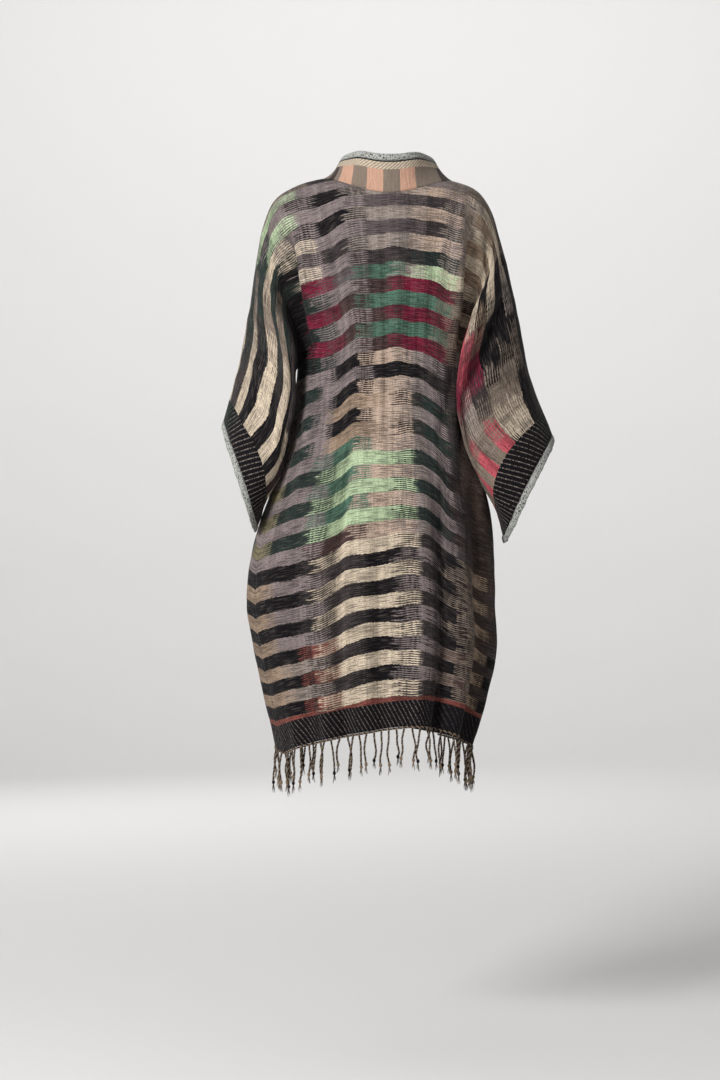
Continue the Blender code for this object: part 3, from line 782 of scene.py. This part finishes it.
def bar_stops(chart):
    """Ramp stops over the whole span, from blocks that run from the left cuff to the right one."""
    pairs = blocks(chart)
    stops = [(0.0, yarn(pairs[0][1]))]
    for (start, name), (before, name_before) in zip(pairs[1:], pairs):
        edge = (SPAN_HALF - start) / (2 * SPAN_HALF)
        stops.append((edge - BLOCK_EDGE, yarn(name_before)))
        stops.append((edge + BLOCK_EDGE, yarn(name)))
    return stops


def by_zone(add, row, zones):
    """What each zone of rows has, from pairs of its first row and a node."""
    here = zones[0][1]
    for first_row, zone in zones[1:]:
        here = add(MIX, add(GREATER_THAN, row, first_row - 0.5), here, zone)
    return here


def bar_colours(add, row, odd, span):
    """The colour of every block of the cloth: one ramp for each kind of row in each zone."""
    zones = []
    for zone in ZONES:
        lines = [add(RAMP, span, stops=bar_stops(chart)) for chart in (zone.even, zone.odd)]
        zones.append((zone.first_row, add(MIX, odd, *lines)))
    return by_zone(add, row, zones)


def feather_width(add, row, span):
    """How far the thread ends of neighbouring blocks reach into each other here, in metres."""
    zones = []
    for name, first_row in FEATHER_ZONES:
        stops = []
        for feather in FEATHERS:
            grey = getattr(feather, name) * 10
            stops.append(((SPAN_HALF - feather.across) / (2 * SPAN_HALF), (grey, grey, grey, 1.0)))
        zones.append((first_row, add(RAMP, span, stops=stops, interpolation="CONSTANT")))
    return add(MULTIPLY, by_zone(add, row, zones), 0.1)


def shawl_cloth():
    """Viscose and wool shawl cloth, woven from dyed yarns: matt, with bars whose thread ends feather out."""
    settings = bpy.context.scene.jacket_weave
    material, add, chart, across, down = new_cloth("woven_shawl_cloth")
    slow, quick, fleck, dark, slubs, ribs, grain = grains(add, chart, CLOTH_GRAINS)
    # Picks wander a little, and the edges of the bars are ragged by a thread.
    pick = add(SUBTRACT, add(MULTIPLY_ADD, slow, PICK_WANDER, down), PICK_WANDER / 2)
    ragged = add(SUBTRACT, add(MULTIPLY_ADD, quick, RAGGED, pick), RAGGED / 2)
    row = add(FLOOR, add(DIVIDE, ragged, settings.bar_depth))
    odd = add(MODULO, row, 2.0)
    # Real threads are about 1 mm apart. These lie in pairs of one light and one dark, wide enough to show.
    pair = add(DIVIDE, pick, settings.thread_pitch)
    number = add(FLOOR, pair)
    twin = add(GREATER_THAN, add(MULTIPLY_ADD, quick, 0.7, add(FRACT, pair)), 0.85)
    chance = add(CHANCE, number)
    stray = add(CHANCE, add(MULTIPLY_ADD, twin, 0.37, number))
    span = add(DIVIDE, add(SUBTRACT, SPAN_HALF, across), 2 * SPAN_HALF)
    width = feather_width(add, row, span)
    reach = add(MULTIPLY, add(MULTIPLY_ADD, chance, 0.85, 0.42), width)
    shift = add(MULTIPLY, add(SUBTRACT, twin, 0.5), reach)
    loose = add(MULTIPLY_ADD, width, 0.22, 0.004)
    shift = add(MULTIPLY_ADD, add(SUBTRACT, stray, 0.5), loose, shift)
    span = add(ADD, span, add(DIVIDE, shift, 2 * SPAN_HALF))
    colour = bar_colours(add, row, odd, span)
    colour = add(MIX, add(GREATER_THAN, ragged, BORDER), colour, yarn("rust"))
    # Threads of the paler and the black yarn, then soft upright ribs, a grain and darker second threads.
    colour = add(MIX, add(RANGE, fleck, 0.52, 0.76, 0.0, 0.20), colour, yarn("ash"))
    dark = add(MULTIPLY_ADD, slubs, 0.5, dark)
    colour = add(MIX, add(RANGE, dark, 0.72, 0.88, 0.0, 0.52), colour, yarn("black"))
    value = add(MULTIPLY_ADD, ribs, 0.70, 0.37)
    value = add(MULTIPLY_ADD, grain, 0.80, value)
    value = add(MULTIPLY_ADD, twin, -0.20, value)
    # Black pinstriped borders at hem and cuffs; painted shade dims the hem's dashes where it turns from the
    # light.
    hem_dash_painted_shade = add(RANGE, across, -0.110, -0.060, 0.18, 0.70)
    lines = add(MULTIPLY, pinstripes(add, across, down, PINSTRIPE), hem_dash_painted_shade)
    hem = add(MIX, lines, yarn("black"), yarn("ash"))
    colour = add(MIX, add(GREATER_THAN, down, BORDER + RUST_LINE), colour, hem)
    reach = add(ABSOLUTE, across)
    line_yarn = add(MIX, add(RANGE, down, 0.080, 0.040), yarn("ash"), yarn("green"))
    cuff = add(MIX, pinstripes(add, down, reach, CUFF_PINSTRIPE), yarn("black"), line_yarn)
    colour = add(MIX, add(GREATER_THAN, reach, CUFF_BORDER), colour, cuff)
    colour = add(TONE, value, colour)
    finish_cloth(add, colour, weave_height(add, chart), 0.9, 0.03, 0.0009)
    return material


def band_cloth():
    """The same shawl cloth cut along its bars, in salmon and taupe blocks, with a pale dashed edge."""
    material, add, chart, along, out = new_cloth("neck_band_cloth")
    threads, grain = grains(add, chart, BAND_GRAINS)
    far = add(DIVIDE, add(SUBTRACT, BAND_HALF, along), 2 * BAND_HALF)
    block = add(FLOOR, add(DIVIDE, add(SUBTRACT, along, BAND_SHIFT), BAND_BLOCK))
    lines = []
    for row in (BAND_LIGHT, BAND_DARK):
        stops = [((BAND_HALF - start) / (2 * BAND_HALF), yarn(name)) for start, name in blocks(row)]
        lines.append(add(RAMP, far, stops=stops, interpolation="CONSTANT"))
    colour = add(MIX, add(FLOORED_MODULO, block, 2.0), *lines)
    value = add(MULTIPLY_ADD, threads, 0.5, 0.45)
    value = add(MULTIPLY_ADD, grain, 0.6, value)
    colour = add(TONE, value, colour)
    lean = add(MULTIPLY_ADD, out, 1.3, along)
    dash = add(LESS_THAN, add(FRACT, add(DIVIDE, lean, BAND_DASH)), 0.3)
    near_neck = add(LESS_THAN, add(ABSOLUTE, along), BAND_TURN)
    ground = add(MIX, near_neck, yarn("black"), yarn("cream"))
    mark = add(MIX, near_neck, yarn("ash"), yarn("charcoal"))
    edge = add(TONE, value, add(MIX, add(MULTIPLY, dash, 0.7), ground, mark))
    colour = add(MIX, add(GREATER_THAN, out, BAND_EDGE), colour, edge)
    colour = add(MIX, add(GREATER_THAN, out, BAND_STITCH), colour, yarn("black"))
    finish_cloth(add, colour, weave_height(add, chart), 0.88, 0.06, 0.0007)
    return material


def pinstriped_cloth():
    """The black border cloth with grey dashes, which lines the inner side of the band."""
    material, add, chart, along, out = new_cloth("pinstriped_border_cloth")
    colour = add(MIX, pinstripes(add, along, out, PINSTRIPE), yarn("black"), yarn("ash"))
    finish_cloth(add, colour, weave_height(add, chart), 0.9, 0.06, 0.0007)
    return material


def tweed_tape():
    """Woven wool tape in grey and green flecks: rough, with a small twill that breaks up the light."""
    material, add, chart, along, out = new_cloth("tweed_edging_tape")
    fleck = grains(add, chart, TAPE_GRAINS)[0]
    colour = add(RAMP, fleck, stops=[
        (0.36, yarn("tweed_dark")), (0.44, yarn("tweed_green")), (0.50, yarn("tweed_light")),
        (0.58, yarn("tweed_green")), (0.64, yarn("tweed_light")),
    ])
    twill = add(ADD, along, add(PINGPONG, out, TWILL))
    twill = add(SINE, add(MULTIPLY, twill, 2 * np.pi / TWILL))
    colour = add(TONE, add(MULTIPLY_ADD, twill, 0.16, 0.95), colour)
    finish_cloth(add, colour, add(MULTIPLY_ADD, twill, 0.4, fleck), 0.92, 0.15, 0.0008)
    return material


def strand_yarn(name, colour_name):
    """Plied wool yarn of one colour: matt and slightly fuzzy."""
    material, add = new_material(name)
    fuzz = add(FUZZ, add(PLACE).outputs["Object"], 900.0, 1.0)
    colour = add(TONE, add(MULTIPLY_ADD, fuzz, 0.8, 0.6), yarn(colour_name))
    finish_cloth(add, colour, fuzz, 0.9, 0.08, 0.0004)
    return material


def new_piece(name, points, faces, materials, places=None):
    """A smooth mesh. Places are its points' places in the cut, which become its UV map."""
    mesh = bpy.data.meshes.new(name)
    mesh.from_pydata([tuple(point) for point in points], [], faces)
    for material in materials:
        mesh.materials.append(material)
    if places is not None:
        layer = mesh.uv_layers.new(name="cut")
        loops = np.empty(len(mesh.loops), dtype=np.int64)
        mesh.loops.foreach_get("vertex_index", loops)
        layer.data.foreach_set("uv", np.asarray(places, dtype=np.float32)[loops].ravel())
    mesh.polygons.foreach_set("use_smooth", np.ones(len(mesh.polygons), dtype=bool))
    obj = bpy.data.objects.new(name, mesh)
    bpy.context.scene.collection.objects.link(obj)
    return obj


def grid_faces(rows, columns, ring=False, closed=False, base=0):
    """Quads over rows of points. A ring joins each row's ends, and closed joins the last row to the first."""
    faces = []
    for i in range(rows if closed else rows - 1):
        a = base + i * columns
        b = base + (i + 1) % rows * columns
        for k in range(columns if ring else columns - 1):
            m = (k + 1) % columns
            faces.append((a + k, a + m, b + m, b + k))
    return faces


def pick_out(obj):
    """Selects one object alone."""
    bpy.ops.object.select_all(action="DESELECT")
    bpy.context.view_layer.objects.active = obj
    obj.select_set(True)


def give_wall(obj, wall, inner_material=0):
    """Gives a single sheet its thickness, half to each side."""
    pick_out(obj)
    solid = obj.modifiers.new("Wall", "SOLIDIFY")
    solid.thickness = wall
    solid.offset = 0.0
    solid.use_quality_normals = True
    solid.material_offset = inner_material
    bpy.ops.object.modifier_apply(modifier="Wall")
    obj.select_set(False)


def ease_pit(across, down):
    """Cloth places with the cut edges drawn back a little round the armpit's corner."""
    reach = np.abs(across)
    away = np.hypot(reach - BODY_HALF, down - SLEEVE_DEPTH)
    extra = PIT_GAP * np.exp(-(away / 0.03) ** 2)
    side_edge = (np.abs(reach - BODY_HALF) < 2 * SEAM) & (down > SLEEVE_DEPTH - 2 * SEAM)
    under_edge = (reach > BODY_HALF - 2 * SEAM) & (np.abs(down - SLEEVE_DEPTH) < 2 * SEAM)
    return across - np.sign(across) * extra * side_edge, down - extra * under_edge


def panel(name, columns, starts, face, material):
    """A panel of cloth: sleeve columns stop at the armpit level, body columns go on to the hem."""
    rows = bpy.context.scene.jacket_weave.upper_rows
    even = np.linspace(0, 1, rows + 1)
    upper = 0.5 * even + 0.25 * (1 - np.cos(np.pi * even))
    lower_rows = int(rows * 2.1)
    lower = np.linspace(SLEEVE_DEPTH, HEM, lower_rows + 1)[1:]
    index = {}
    places = []
    for i, (across, start) in enumerate(zip(columns, starts)):
        sleeve_end = SLEEVE_DEPTH - SEAM if abs(across) > BODY_HALF else SLEEVE_DEPTH
        downs = list(start + (sleeve_end - start) * upper)
        if abs(across) <= BODY_HALF:
            downs += list(lower)
        for j, down in enumerate(downs):
            index[i, j] = len(places)
            places.append((across, down))
    faces = []
    for i in range(len(columns) - 1):
        for j in range(rows + lower_rows):
            corners = [(i, j), (i + 1, j), (i + 1, j + 1), (i, j + 1)]
            if all(corner in index for corner in corners):
                quad = [index[corner] for corner in corners]
                faces.append(quad[::-1] if face > 0 else quad)
    across, down = ease_pit(*np.array(places).T)
    points = cloth(across, down, face)
    if face > 0:
        slid = slide(across, down)
    else:
        reach = np.abs(across)
        slid = slide(np.sign(across) * np.maximum(reach, BODY_HALF), down) * ease(0.18, BODY_HALF, reach)
    obj = new_piece(name, points, faces, [material], np.stack([across, down - slid], -1))
    give_wall(obj, WALL)
    return obj


def side_columns(start):
    """Column places from the side of the neck out to the cuff, about 6 mm apart."""
    body = np.linspace(start, BODY_HALF - SEAM, 31)
    sleeve = np.linspace(BODY_HALF - SEAM, SPAN_HALF, 57)[1:]
    return np.concatenate([body, sleeve])


def band_path():
    """Places along the band from the centre back to the front hem."""
    fine = np.linspace(0, NECK_HALF, 33)
    rows = [(across, float(neck_line(across)) - SEAM, 1) for across in fine]
    rows += [(NECK_HALF, down, -1) for down in np.linspace(SEAM, HEM, 171)[1:]]
    return rows


def band_lines(side):
    """Root points of the band, the way it stands from them, and the path run so far, on one side."""
    path = band_path()
    near = np.array([(side * across, down) for across, down, face in path])
    faces = np.array([face for across, down, face in path])
    back = smooth_cloth(near[:, 0], near[:, 1], 1)
    front = cloth(near[:, 0], near[:, 1], -1)
    roots = np.where((faces > 0)[:, None], back, front)
    run = path_run(roots)
    stand = np.stack([column(LEANS, "path", name, run) for name in "xyz"], -1)
    stand[:, 0] *= side
    flat = unit(cloth(near[:, 0] - side * 0.004, near[:, 1], -1) - front)
    mix = ease(0.20, 0.34, run)[:, None]
    return roots, unit(stand * (1 - mix) + flat * mix), run * side


def whole_band():
    """The band's roots, stand, outward way and signed path, from the right front hem to the left one."""
    sides = zip(band_lines(1), band_lines(-1))
    roots, stand, run = [np.concatenate([right[:0:-1], left]) for left, right in sides]
    return roots, stand, unit(np.cross(np.gradient(roots, axis=0), stand)), run


def tape(name, middles, wide, thick, half_width, half_wall, run, closed, material):
    """A flat tape with rounded edges along a line. Wide and thick are its directions at each point."""
    turns = np.linspace(0, 2 * np.pi, 12, endpoint=False)
    shape_w = half_width * np.sign(np.cos(turns)) * np.abs(np.cos(turns)) ** 0.6
    shape_t = half_wall * np.sign(np.sin(turns)) * np.abs(np.sin(turns)) ** 0.8
    rings = middles[:, None, :] + wide[:, None, :] * shape_w[None, :, None]
    rings = rings + thick[:, None, :] * shape_t[None, :, None]
    count = len(middles)
    sides = len(turns)
    points = rings.reshape(-1, 3)
    round_it = np.cumsum(np.full(sides, 0.0021))
    places = np.stack([np.repeat(run, sides), np.tile(round_it, count)], -1)
    faces = grid_faces(count, sides, True, closed)
    if not closed:
        faces.append(list(range(sides))[::-1])
        faces.append(list(range((count - 1) * sides, count * sides)))
    obj = new_piece(name, points, faces, [material], places)
    face_outwards(obj)
    return obj


def face_outwards(obj):
    """Turns a closed mesh's faces outwards."""
    pick_out(obj)
    bpy.ops.object.mode_set(mode="EDIT")
    bpy.ops.mesh.select_all(action="SELECT")
    bpy.ops.mesh.normals_make_consistent(inside=False)
    bpy.ops.object.mode_set(mode="OBJECT")
    obj.select_set(False)


def tube(points, radius, sides, store, colour):
    """Adds a closed round tube along points to the store of points, faces and face colours."""
    points = np.asarray(points)
    radius = np.broadcast_to(radius, len(points))
    way = unit(np.gradient(points, axis=0))
    first = unit(np.cross(way, (0.31, 0.94, 0.12)))
    second = np.cross(way, first)
    turns = np.arange(sides) * 2 * np.pi / sides
    rings = points[:, None, :] + radius[:, None, None] * (
        first[:, None, :] * np.cos(turns)[None, :, None] + second[:, None, :] * np.sin(turns)[None, :, None])
    base = len(store["points"])
    store["points"] += [tuple(p) for p in rings.reshape(-1, 3)]
    faces = grid_faces(len(points), sides, True, base=base)
    faces.append(tuple(base + k for k in range(sides))[::-1])
    faces.append(tuple(base + (len(points) - 1) * sides + k for k in range(sides)))
    store["faces"] += faces
    store["colours"] += [colour] * len(faces)


def twisted(middle, radius, ply_radius, turn_length, sides, store):
    """Two plies wound round a line."""
    middle = np.asarray(middle)
    way = unit(np.gradient(middle, axis=0))
    first = unit(np.cross(way, (0.2, 0.95, 0.2)))
    second = np.cross(way, first)
    for ply in (0, 1):
        angle = path_run(middle) * 2 * np.pi / turn_length + np.pi * ply
        line = middle + radius * (first * np.cos(angle)[:, None] + second * np.sin(angle)[:, None])
        tube(line, ply_radius, sides, store, ply)


def strand(root, number, store):
    """One twisted strand of fringe with its knot and frayed tip."""
    long = 0.067 + 0.007 * np.sin(number * 2.4) + 0.004 * np.sin(number * 5.1)
    sway_x = 0.006 * np.sin(number * 1.7)
    sway_y = 0.003 * np.cos(number * 2.9)
    share = np.linspace(-0.05, 1, 30)
    bend = np.sin(np.clip(share, 0, 1) * np.pi * 0.9)
    wave = np.sin(share * np.pi * (2.2 + np.sin(number * 3.3)) + number) * np.clip(share, 0, 1)
    middle = np.stack([
        root[0] + sway_x * bend + 0.0032 * wave * np.sin(number * 4.7),
        root[1] + sway_y * bend + 0.0016 * wave * np.cos(number * 3.9),
        root[2] - long * share,
    ], -1)
    knot_at = 0.80
    shaft = middle[share < knot_at + 0.02]
    twisted(shaft, 0.00100, 0.00120, 0.0095, 5, store)
    knot = middle[np.argmin(np.abs(share - knot_at))]
    swell = np.array([0.0006, 0.0021, 0.0029, 0.0030, 0.0022, 0.0012])
    drop = np.linspace(0.0040, -0.0040, 6)
    tube(knot + np.stack([drop * 0, drop * 0, drop], -1), swell, 6, store, 1 if int(number) % 3 else 0)
    for hair in range(7):
        angle = hair * 2.4 + number
        tip = long * (1 - knot_at) * (0.9 + 0.25 * np.sin(number * 7.7 + hair * 2.3))
        steps = np.linspace(0, 1, 4)
        spread = 0.0026 * steps ** 0.8
        line = knot + np.stack([spread * np.cos(angle), spread * np.sin(angle), -0.002 - tip * steps], -1)
        tube(line, 0.0007 * (1 - 0.6 * steps), 3, store, 1 if hair % 3 else 0)


def fringe(name, start, stop, face, first_number, yarns):
    """A row of strands under the twisted edge line of one hem."""
    count = int(round(abs(stop - start) / STRAND_PITCH))
    pitch = (stop - start) / count
    store = {"points": [], "faces": [], "colours": []}
    for i in range(count):
        across = start + pitch * (i + 0.5)
        hem = cloth(np.array([across]), np.array([HEM]), face)[0]
        strand(hem - (0, 0, 0.0045), 2 * i + 1 + first_number, store)
    line = np.linspace(start, stop, int(abs(stop - start) / 0.0016))
    edge = cloth(line, np.full(len(line), HEM), face) - (0, 0, 0.0022)
    twisted(edge, 0.0010, 0.0012, 0.0090, 5, store)
    obj = new_piece(name, store["points"], store["faces"], yarns)
    obj.data.polygons.foreach_set("material_index", np.array(store["colours"], dtype=np.int32))
    face_outwards(obj)
    return obj


def dress(obj, node):
    """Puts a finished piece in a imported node's place."""
    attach(obj, "root")
    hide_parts(node)


LENGTH = {"subtype": "DISTANCE", "unit": "LENGTH", "precision": 5}


class JacketWeave(bpy.types.PropertyGroup):
    """Sizes of the weave and of the cloth's mesh."""
    bar_depth: bpy.props.FloatProperty(
        name="Bar depth", description="Depth of one bar of colour", default=BAR, min=0.005, **LENGTH)
    thread_pitch: bpy.props.FloatProperty(
        name="Thread pitch", description="Distance between the thread ends that show", default=0.0038,
        min=0.001, **LENGTH)
    upper_rows: bpy.props.IntProperty(
        name="Rows to the armpit", description="Mesh rows from the shoulder line to the armpit",
        default=54, min=12)


class JacketColours(bpy.types.PropertyGroup):
    """Yarn colours that a user would change first."""


for yarn_name, label, use in (
    ("black", "Black", "Yarn of the borders and the darkest bars"),
    ("cream", "Cream", "Yarn of the lightest bars"),
    ("mauve", "Mauve grey", "Yarn of the grey bars"),
    ("green", "Green", "Yarn of the green bars"),
    ("mint", "Mint", "Yarn of the palest green bars"),
    ("burgundy", "Burgundy", "Yarn of the dark red bars"),
    ("salmon", "Salmon", "Yarn of the pale blocks on the neck band"),
):
    JacketColours.__annotations__[yarn_name] = bpy.props.FloatVectorProperty(
        name=label, description=use, size=3, subtype="COLOR", default=linear(YARNS[yarn_name])[:3])


class StageSettings(bpy.types.PropertyGroup):
    """Floor, light and camera."""
    floor_height: bpy.props.FloatProperty(
        name="Floor height", description="Height of the floor below the shoulders", default=-1.55, **LENGTH)
    camera_distance: bpy.props.FloatProperty(
        name="Camera distance", description="Distance of the camera behind the jacket", default=4.50,
        min=1.0, **LENGTH)
    floor_shade: bpy.props.FloatProperty(
        name="Floor shade", description="Brightness of the floor's paper against the wall's",
        default=0.90, min=0.0, max=1.0)
    backdrop: bpy.props.FloatVectorProperty(
        name="Backdrop", description="Colour of the floor and the wall round it", size=3, subtype="COLOR",
        default=linear("ecebea")[:3])


class JACKET_OT_back(bpy.types.Operator):
    """Drape the back, cut in one with the back of both sleeves"""
    bl_idname = "jacket.back"
    bl_label = "Back"

    def execute(self, context):
        material = bpy.data.materials.get("woven_shawl_cloth") or shawl_cloth()
        half = np.concatenate([np.linspace(0, NECK_HALF, 21)[:-1], side_columns(NECK_HALF)])
        columns = np.concatenate([-half[:0:-1], half])
        obj = panel("cloth_back", columns, neck_line(columns), 1, material)
        dress(obj, "back")
        return {"FINISHED"}


class JACKET_OT_fronts(bpy.types.Operator):
    """Drape both fronts, each cut in one with the front of its sleeve"""
    bl_idname = "jacket.fronts"
    bl_label = "Fronts"

    def execute(self, context):
        material = bpy.data.materials.get("woven_shawl_cloth") or shawl_cloth()
        half = side_columns(NECK_HALF)
        for name, columns in (("left", half), ("right", -half[::-1])):
            obj = panel("cloth_front_" + name, columns, np.full(len(columns), SEAM), -1, material)
            dress(obj, "front_" + name)
        return {"FINISHED"}


class JACKET_OT_neck_band(bpy.types.Operator):
    """Sew the band round the neck and down both fronts"""
    bl_idname = "jacket.neck_band"
    bl_label = "Neck band"

    def execute(self, context):
        roots, stand, out, run = whole_band()
        reach = np.linspace(2 * SEAM, BAND_WIDTH, 13)
        bow = 0.0022 * np.sin(np.pi * reach / BAND_WIDTH)
        soft = 0.0006 * np.sin(run * 55 + 1.1 * np.sin(run * 21))
        lift = bow[None, :] + soft[:, None] * np.sin(np.pi * reach / BAND_WIDTH)[None, :]
        points = roots[:, None, :] + stand[:, None, :] * reach[None, :, None]
        points = points + out[:, None, :] * lift[..., None]
        places = np.stack(np.broadcast_arrays(run[:, None], reach[None, :]), -1).reshape(-1, 2)
        faces = grid_faces(len(roots), len(reach))
        materials = [band_cloth(), pinstriped_cloth()]
        obj = new_piece("cloth_neck_band", points.reshape(-1, 3), faces, materials, places)
        give_wall(obj, WALL, 1)
        dress(obj, "neck_band")
        return {"FINISHED"}


class JACKET_OT_edgings(bpy.types.Operator):
    """Bind the band's free edge and both cuffs with tweed tape"""
    bl_idname = "jacket.edgings"
    bl_label = "Tweed edgings"

    def execute(self, context):
        material = tweed_tape()
        roots, stand, out, run = whole_band()
        middle = roots + stand * (BAND_WIDTH + SEAM + EDGING_WIDTH / 2)
        obj = tape("tape_neck", middle, stand, out, EDGING_WIDTH / 2, 0.0016, run, False, material)
        dress(obj, "neck_edging")
        turns = np.linspace(0, SLEEVE_DEPTH, 61)
        for name, side in (("left", 1), ("right", -1)):
            rings = []
            for downs, face in ((turns, 1), (turns[-2:0:-1], -1)):
                edge = cloth(np.full(len(downs), side * SPAN_HALF), downs, face)
                inner = cloth(np.full(len(downs), side * (SPAN_HALF - 0.02)), downs, face)
                rings.append(np.stack([edge, inner], 1))
            rings = np.concatenate(rings)
            away = unit(rings[:, 0] - rings[:, 1])
            middle = rings[:, 0] + away * (2 * SEAM + CUFF_EDGING / 2)
            around = np.roll(middle, -1, axis=0) - np.roll(middle, 1, axis=0)
            thick = unit(np.cross(around, away))
            path = np.cumsum(np.linalg.norm(around, axis=1) / 2)
            wave = 0.0010 * np.sin(path * 95) + 0.0006 * np.sin(path * 240)
            wave = wave * np.sin(np.pi * path / path[-1]) ** 0.5
            middle = middle + away * np.abs(wave)[:, None] + thick * wave[:, None]
            obj = tape(
                "tape_cuff_" + name, middle, away, thick, CUFF_EDGING / 2, 0.0018, path, True, material)
            dress(obj, "cuff_edging_" + name)
        return {"FINISHED"}


class JACKET_OT_fringe(bpy.types.Operator):
    """Hang the twisted fringe from the hems"""
    bl_idname = "jacket.fringe"
    bl_label = "Fringe"

    def execute(self, context):
        yarns = [strand_yarn(colour + "_fringe_yarn", colour) for colour in ("black", "tan")]
        rows = (
            ("back", -BODY_HALF + 0.004, BODY_HALF - 0.004, 1, 0),
            ("front_left", BODY_HALF - 0.004, NECK_HALF + 0.004, -1, 40),
            ("front_right", -BODY_HALF + 0.004, -NECK_HALF - 0.004, -1, 40),
        )
        for name, start, stop, face, first in rows:
            obj = fringe("strands_" + name, start, stop, face, first, yarns)
            dress(obj, "fringe_" + name)
        return {"FINISHED"}


class JACKET_OT_cut(bpy.types.Operator):
    """Takes no step: the flat cut of each sheet is already its UV map, made with the sheet"""
    bl_idname = "jacket.cut"
    bl_label = "State the cut"

    def execute(self, context):
        return {"FINISHED"}


class JACKET_OT_stage(bpy.types.Operator):
    """Set the pale studio floor, the soft lights and the camera"""
    bl_idname = "jacket.stage"
    bl_label = "Stage"

    def execute(self, context):
        settings = context.scene.jacket_stage
        bpy.ops.object.select_all(action="DESELECT")
        bpy.ops.mesh.primitive_circle_add(
            vertices=96, radius=6.0, fill_type="NGON", location=(0, 0, settings.floor_height))
        floor = context.object
        floor.name = "studio_floor"
        profile = ((6.6, 0.08), (7.1, 0.30), (7.6, 0.75), (7.9, 1.40), (8.0, 2.40), (8.0, 8.0))
        bpy.ops.object.mode_set(mode="EDIT")
        bpy.ops.mesh.select_all(action="SELECT")
        bpy.ops.mesh.select_mode(type="EDGE")
        bpy.ops.mesh.region_to_loop()
        radius = 6.0
        height = 0.0
        for far, up in profile:
            bpy.ops.mesh.extrude_edges_move(TRANSFORM_OT_translate={"value": (0, 0, up - height)})
            bpy.ops.transform.resize(
                value=(far / radius, far / radius, 1), center_override=(0, 0, settings.floor_height))
            radius = far
            height = up
        bpy.ops.mesh.select_all(action="SELECT")
        bpy.ops.mesh.normals_make_consistent(inside=True)
        bpy.ops.object.mode_set(mode="OBJECT")
        bpy.ops.object.shade_smooth()
        material, add = new_material("studio_paper")
        place = add(PARTS, add(PLACE).outputs["Object"])
        dim = tuple(settings.floor_shade * value for value in settings.backdrop) + (1.0,)
        paper = add(MIX, add(RANGE, place.outputs[2], 0.0, 1.6), dim, tuple(settings.backdrop) + (1.0,))
        add(OUTPUT, add(SHADER, paper, 0.95, 0.1))
        floor.data.materials.append(material)
        lamps = (
            ("softbox_left", (2.4, 3.6, 1.4), (0.0, 0.0, -0.5), (1.2, 1.2), 222.0),
            ("softbox_right", (-3.4, 2.6, 0.6), (0.0, 0.0, -0.5), (2.4, 2.4), 2.0),
            ("softbox_top", (0.8, 0.2, 3.2), (0.0, 0.0, -0.5), (3.0, 3.0), 25.0),
            ("softbox_front", (1.6, -4.0, 1.2), (0.0, 0.0, -0.5), (3.0, 3.0), 50.0),
            ("softbox_wall", (0.0, -4.4, 2.8), (0.0, -8.0, -0.4), (3.4, 1.5), 92.0),
        )
        for name, spot, aim, size, power in lamps:
            bpy.ops.object.light_add(type="AREA", location=spot)
            lamp = context.object
            lamp.name = name
            lamp.data.shape = "RECTANGLE"
            lamp.data.size = size[0]
            lamp.data.size_y = size[1]
            lamp.data.energy = power
            away = lamp.location - Vector(aim)
            lamp.rotation_euler = away.to_track_quat("Z", "Y").to_euler()
        world = bpy.data.worlds.new("studio_air")
        context.scene.world = world
        world.use_nodes = True
        air = world.node_tree.nodes["Background"]
        air.inputs[0].default_value = (0.98, 0.99, 1.0, 1.0)
        air.inputs[1].default_value = 0.23
        bpy.ops.object.camera_add(
            location=(0.049, settings.camera_distance, -0.640), rotation=(np.pi / 2, 0, np.pi))
        camera = context.object
        camera.name = "photo_camera"
        camera.data.lens = 85.0
        camera.data.sensor_width = 36.0
        camera.data.clip_end = 60.0
        context.scene.camera = camera
        context.scene.view_settings.view_transform = "Standard"
        return {"FINISHED"}


class JACKET_PT_panel(bpy.types.Panel):
    """The jacket's pieces and settings"""
    bl_label = "Long jacket"
    bl_idname = "JACKET_PT_panel"
    bl_space_type = "VIEW_3D"
    bl_region_type = "UI"
    bl_category = "Jacket"

    def draw(self, context):
        scene = context.scene
        for title, group in (
            ("Weave", scene.jacket_weave), ("Colours", scene.jacket_colours), ("Stage", scene.jacket_stage)
        ):
            box = self.layout.box()
            box.label(text=title)
            for name in group.__annotations__:
                box.prop(group, name)
        for operator in PIECES:
            self.layout.operator(operator.bl_idname)


PIECES = (
    JACKET_OT_back, JACKET_OT_fronts, JACKET_OT_neck_band, JACKET_OT_edgings, JACKET_OT_fringe, JACKET_OT_cut,
    JACKET_OT_stage,
)
CLASSES = (JacketWeave, JacketColours, StageSettings) + PIECES + (JACKET_PT_panel,)


def register():
    for cls in CLASSES:
        bpy.utils.register_class(cls)
    bpy.types.Scene.jacket_weave = bpy.props.PointerProperty(type=JacketWeave)
    bpy.types.Scene.jacket_colours = bpy.props.PointerProperty(type=JacketColours)
    bpy.types.Scene.jacket_stage = bpy.props.PointerProperty(type=StageSettings)


def unregister():
    del bpy.types.Scene.jacket_stage
    del bpy.types.Scene.jacket_colours
    del bpy.types.Scene.jacket_weave
    for cls in reversed(CLASSES):
        bpy.utils.unregister_class(cls)


def main():
    register()
    bpy.ops.jacket.back()
    bpy.ops.jacket.fronts()
    bpy.ops.jacket.neck_band()
    bpy.ops.jacket.edgings()
    bpy.ops.jacket.fringe()
    bpy.ops.jacket.cut()
    bpy.ops.jacket.stage()


if __name__ == "__main__":
    main()
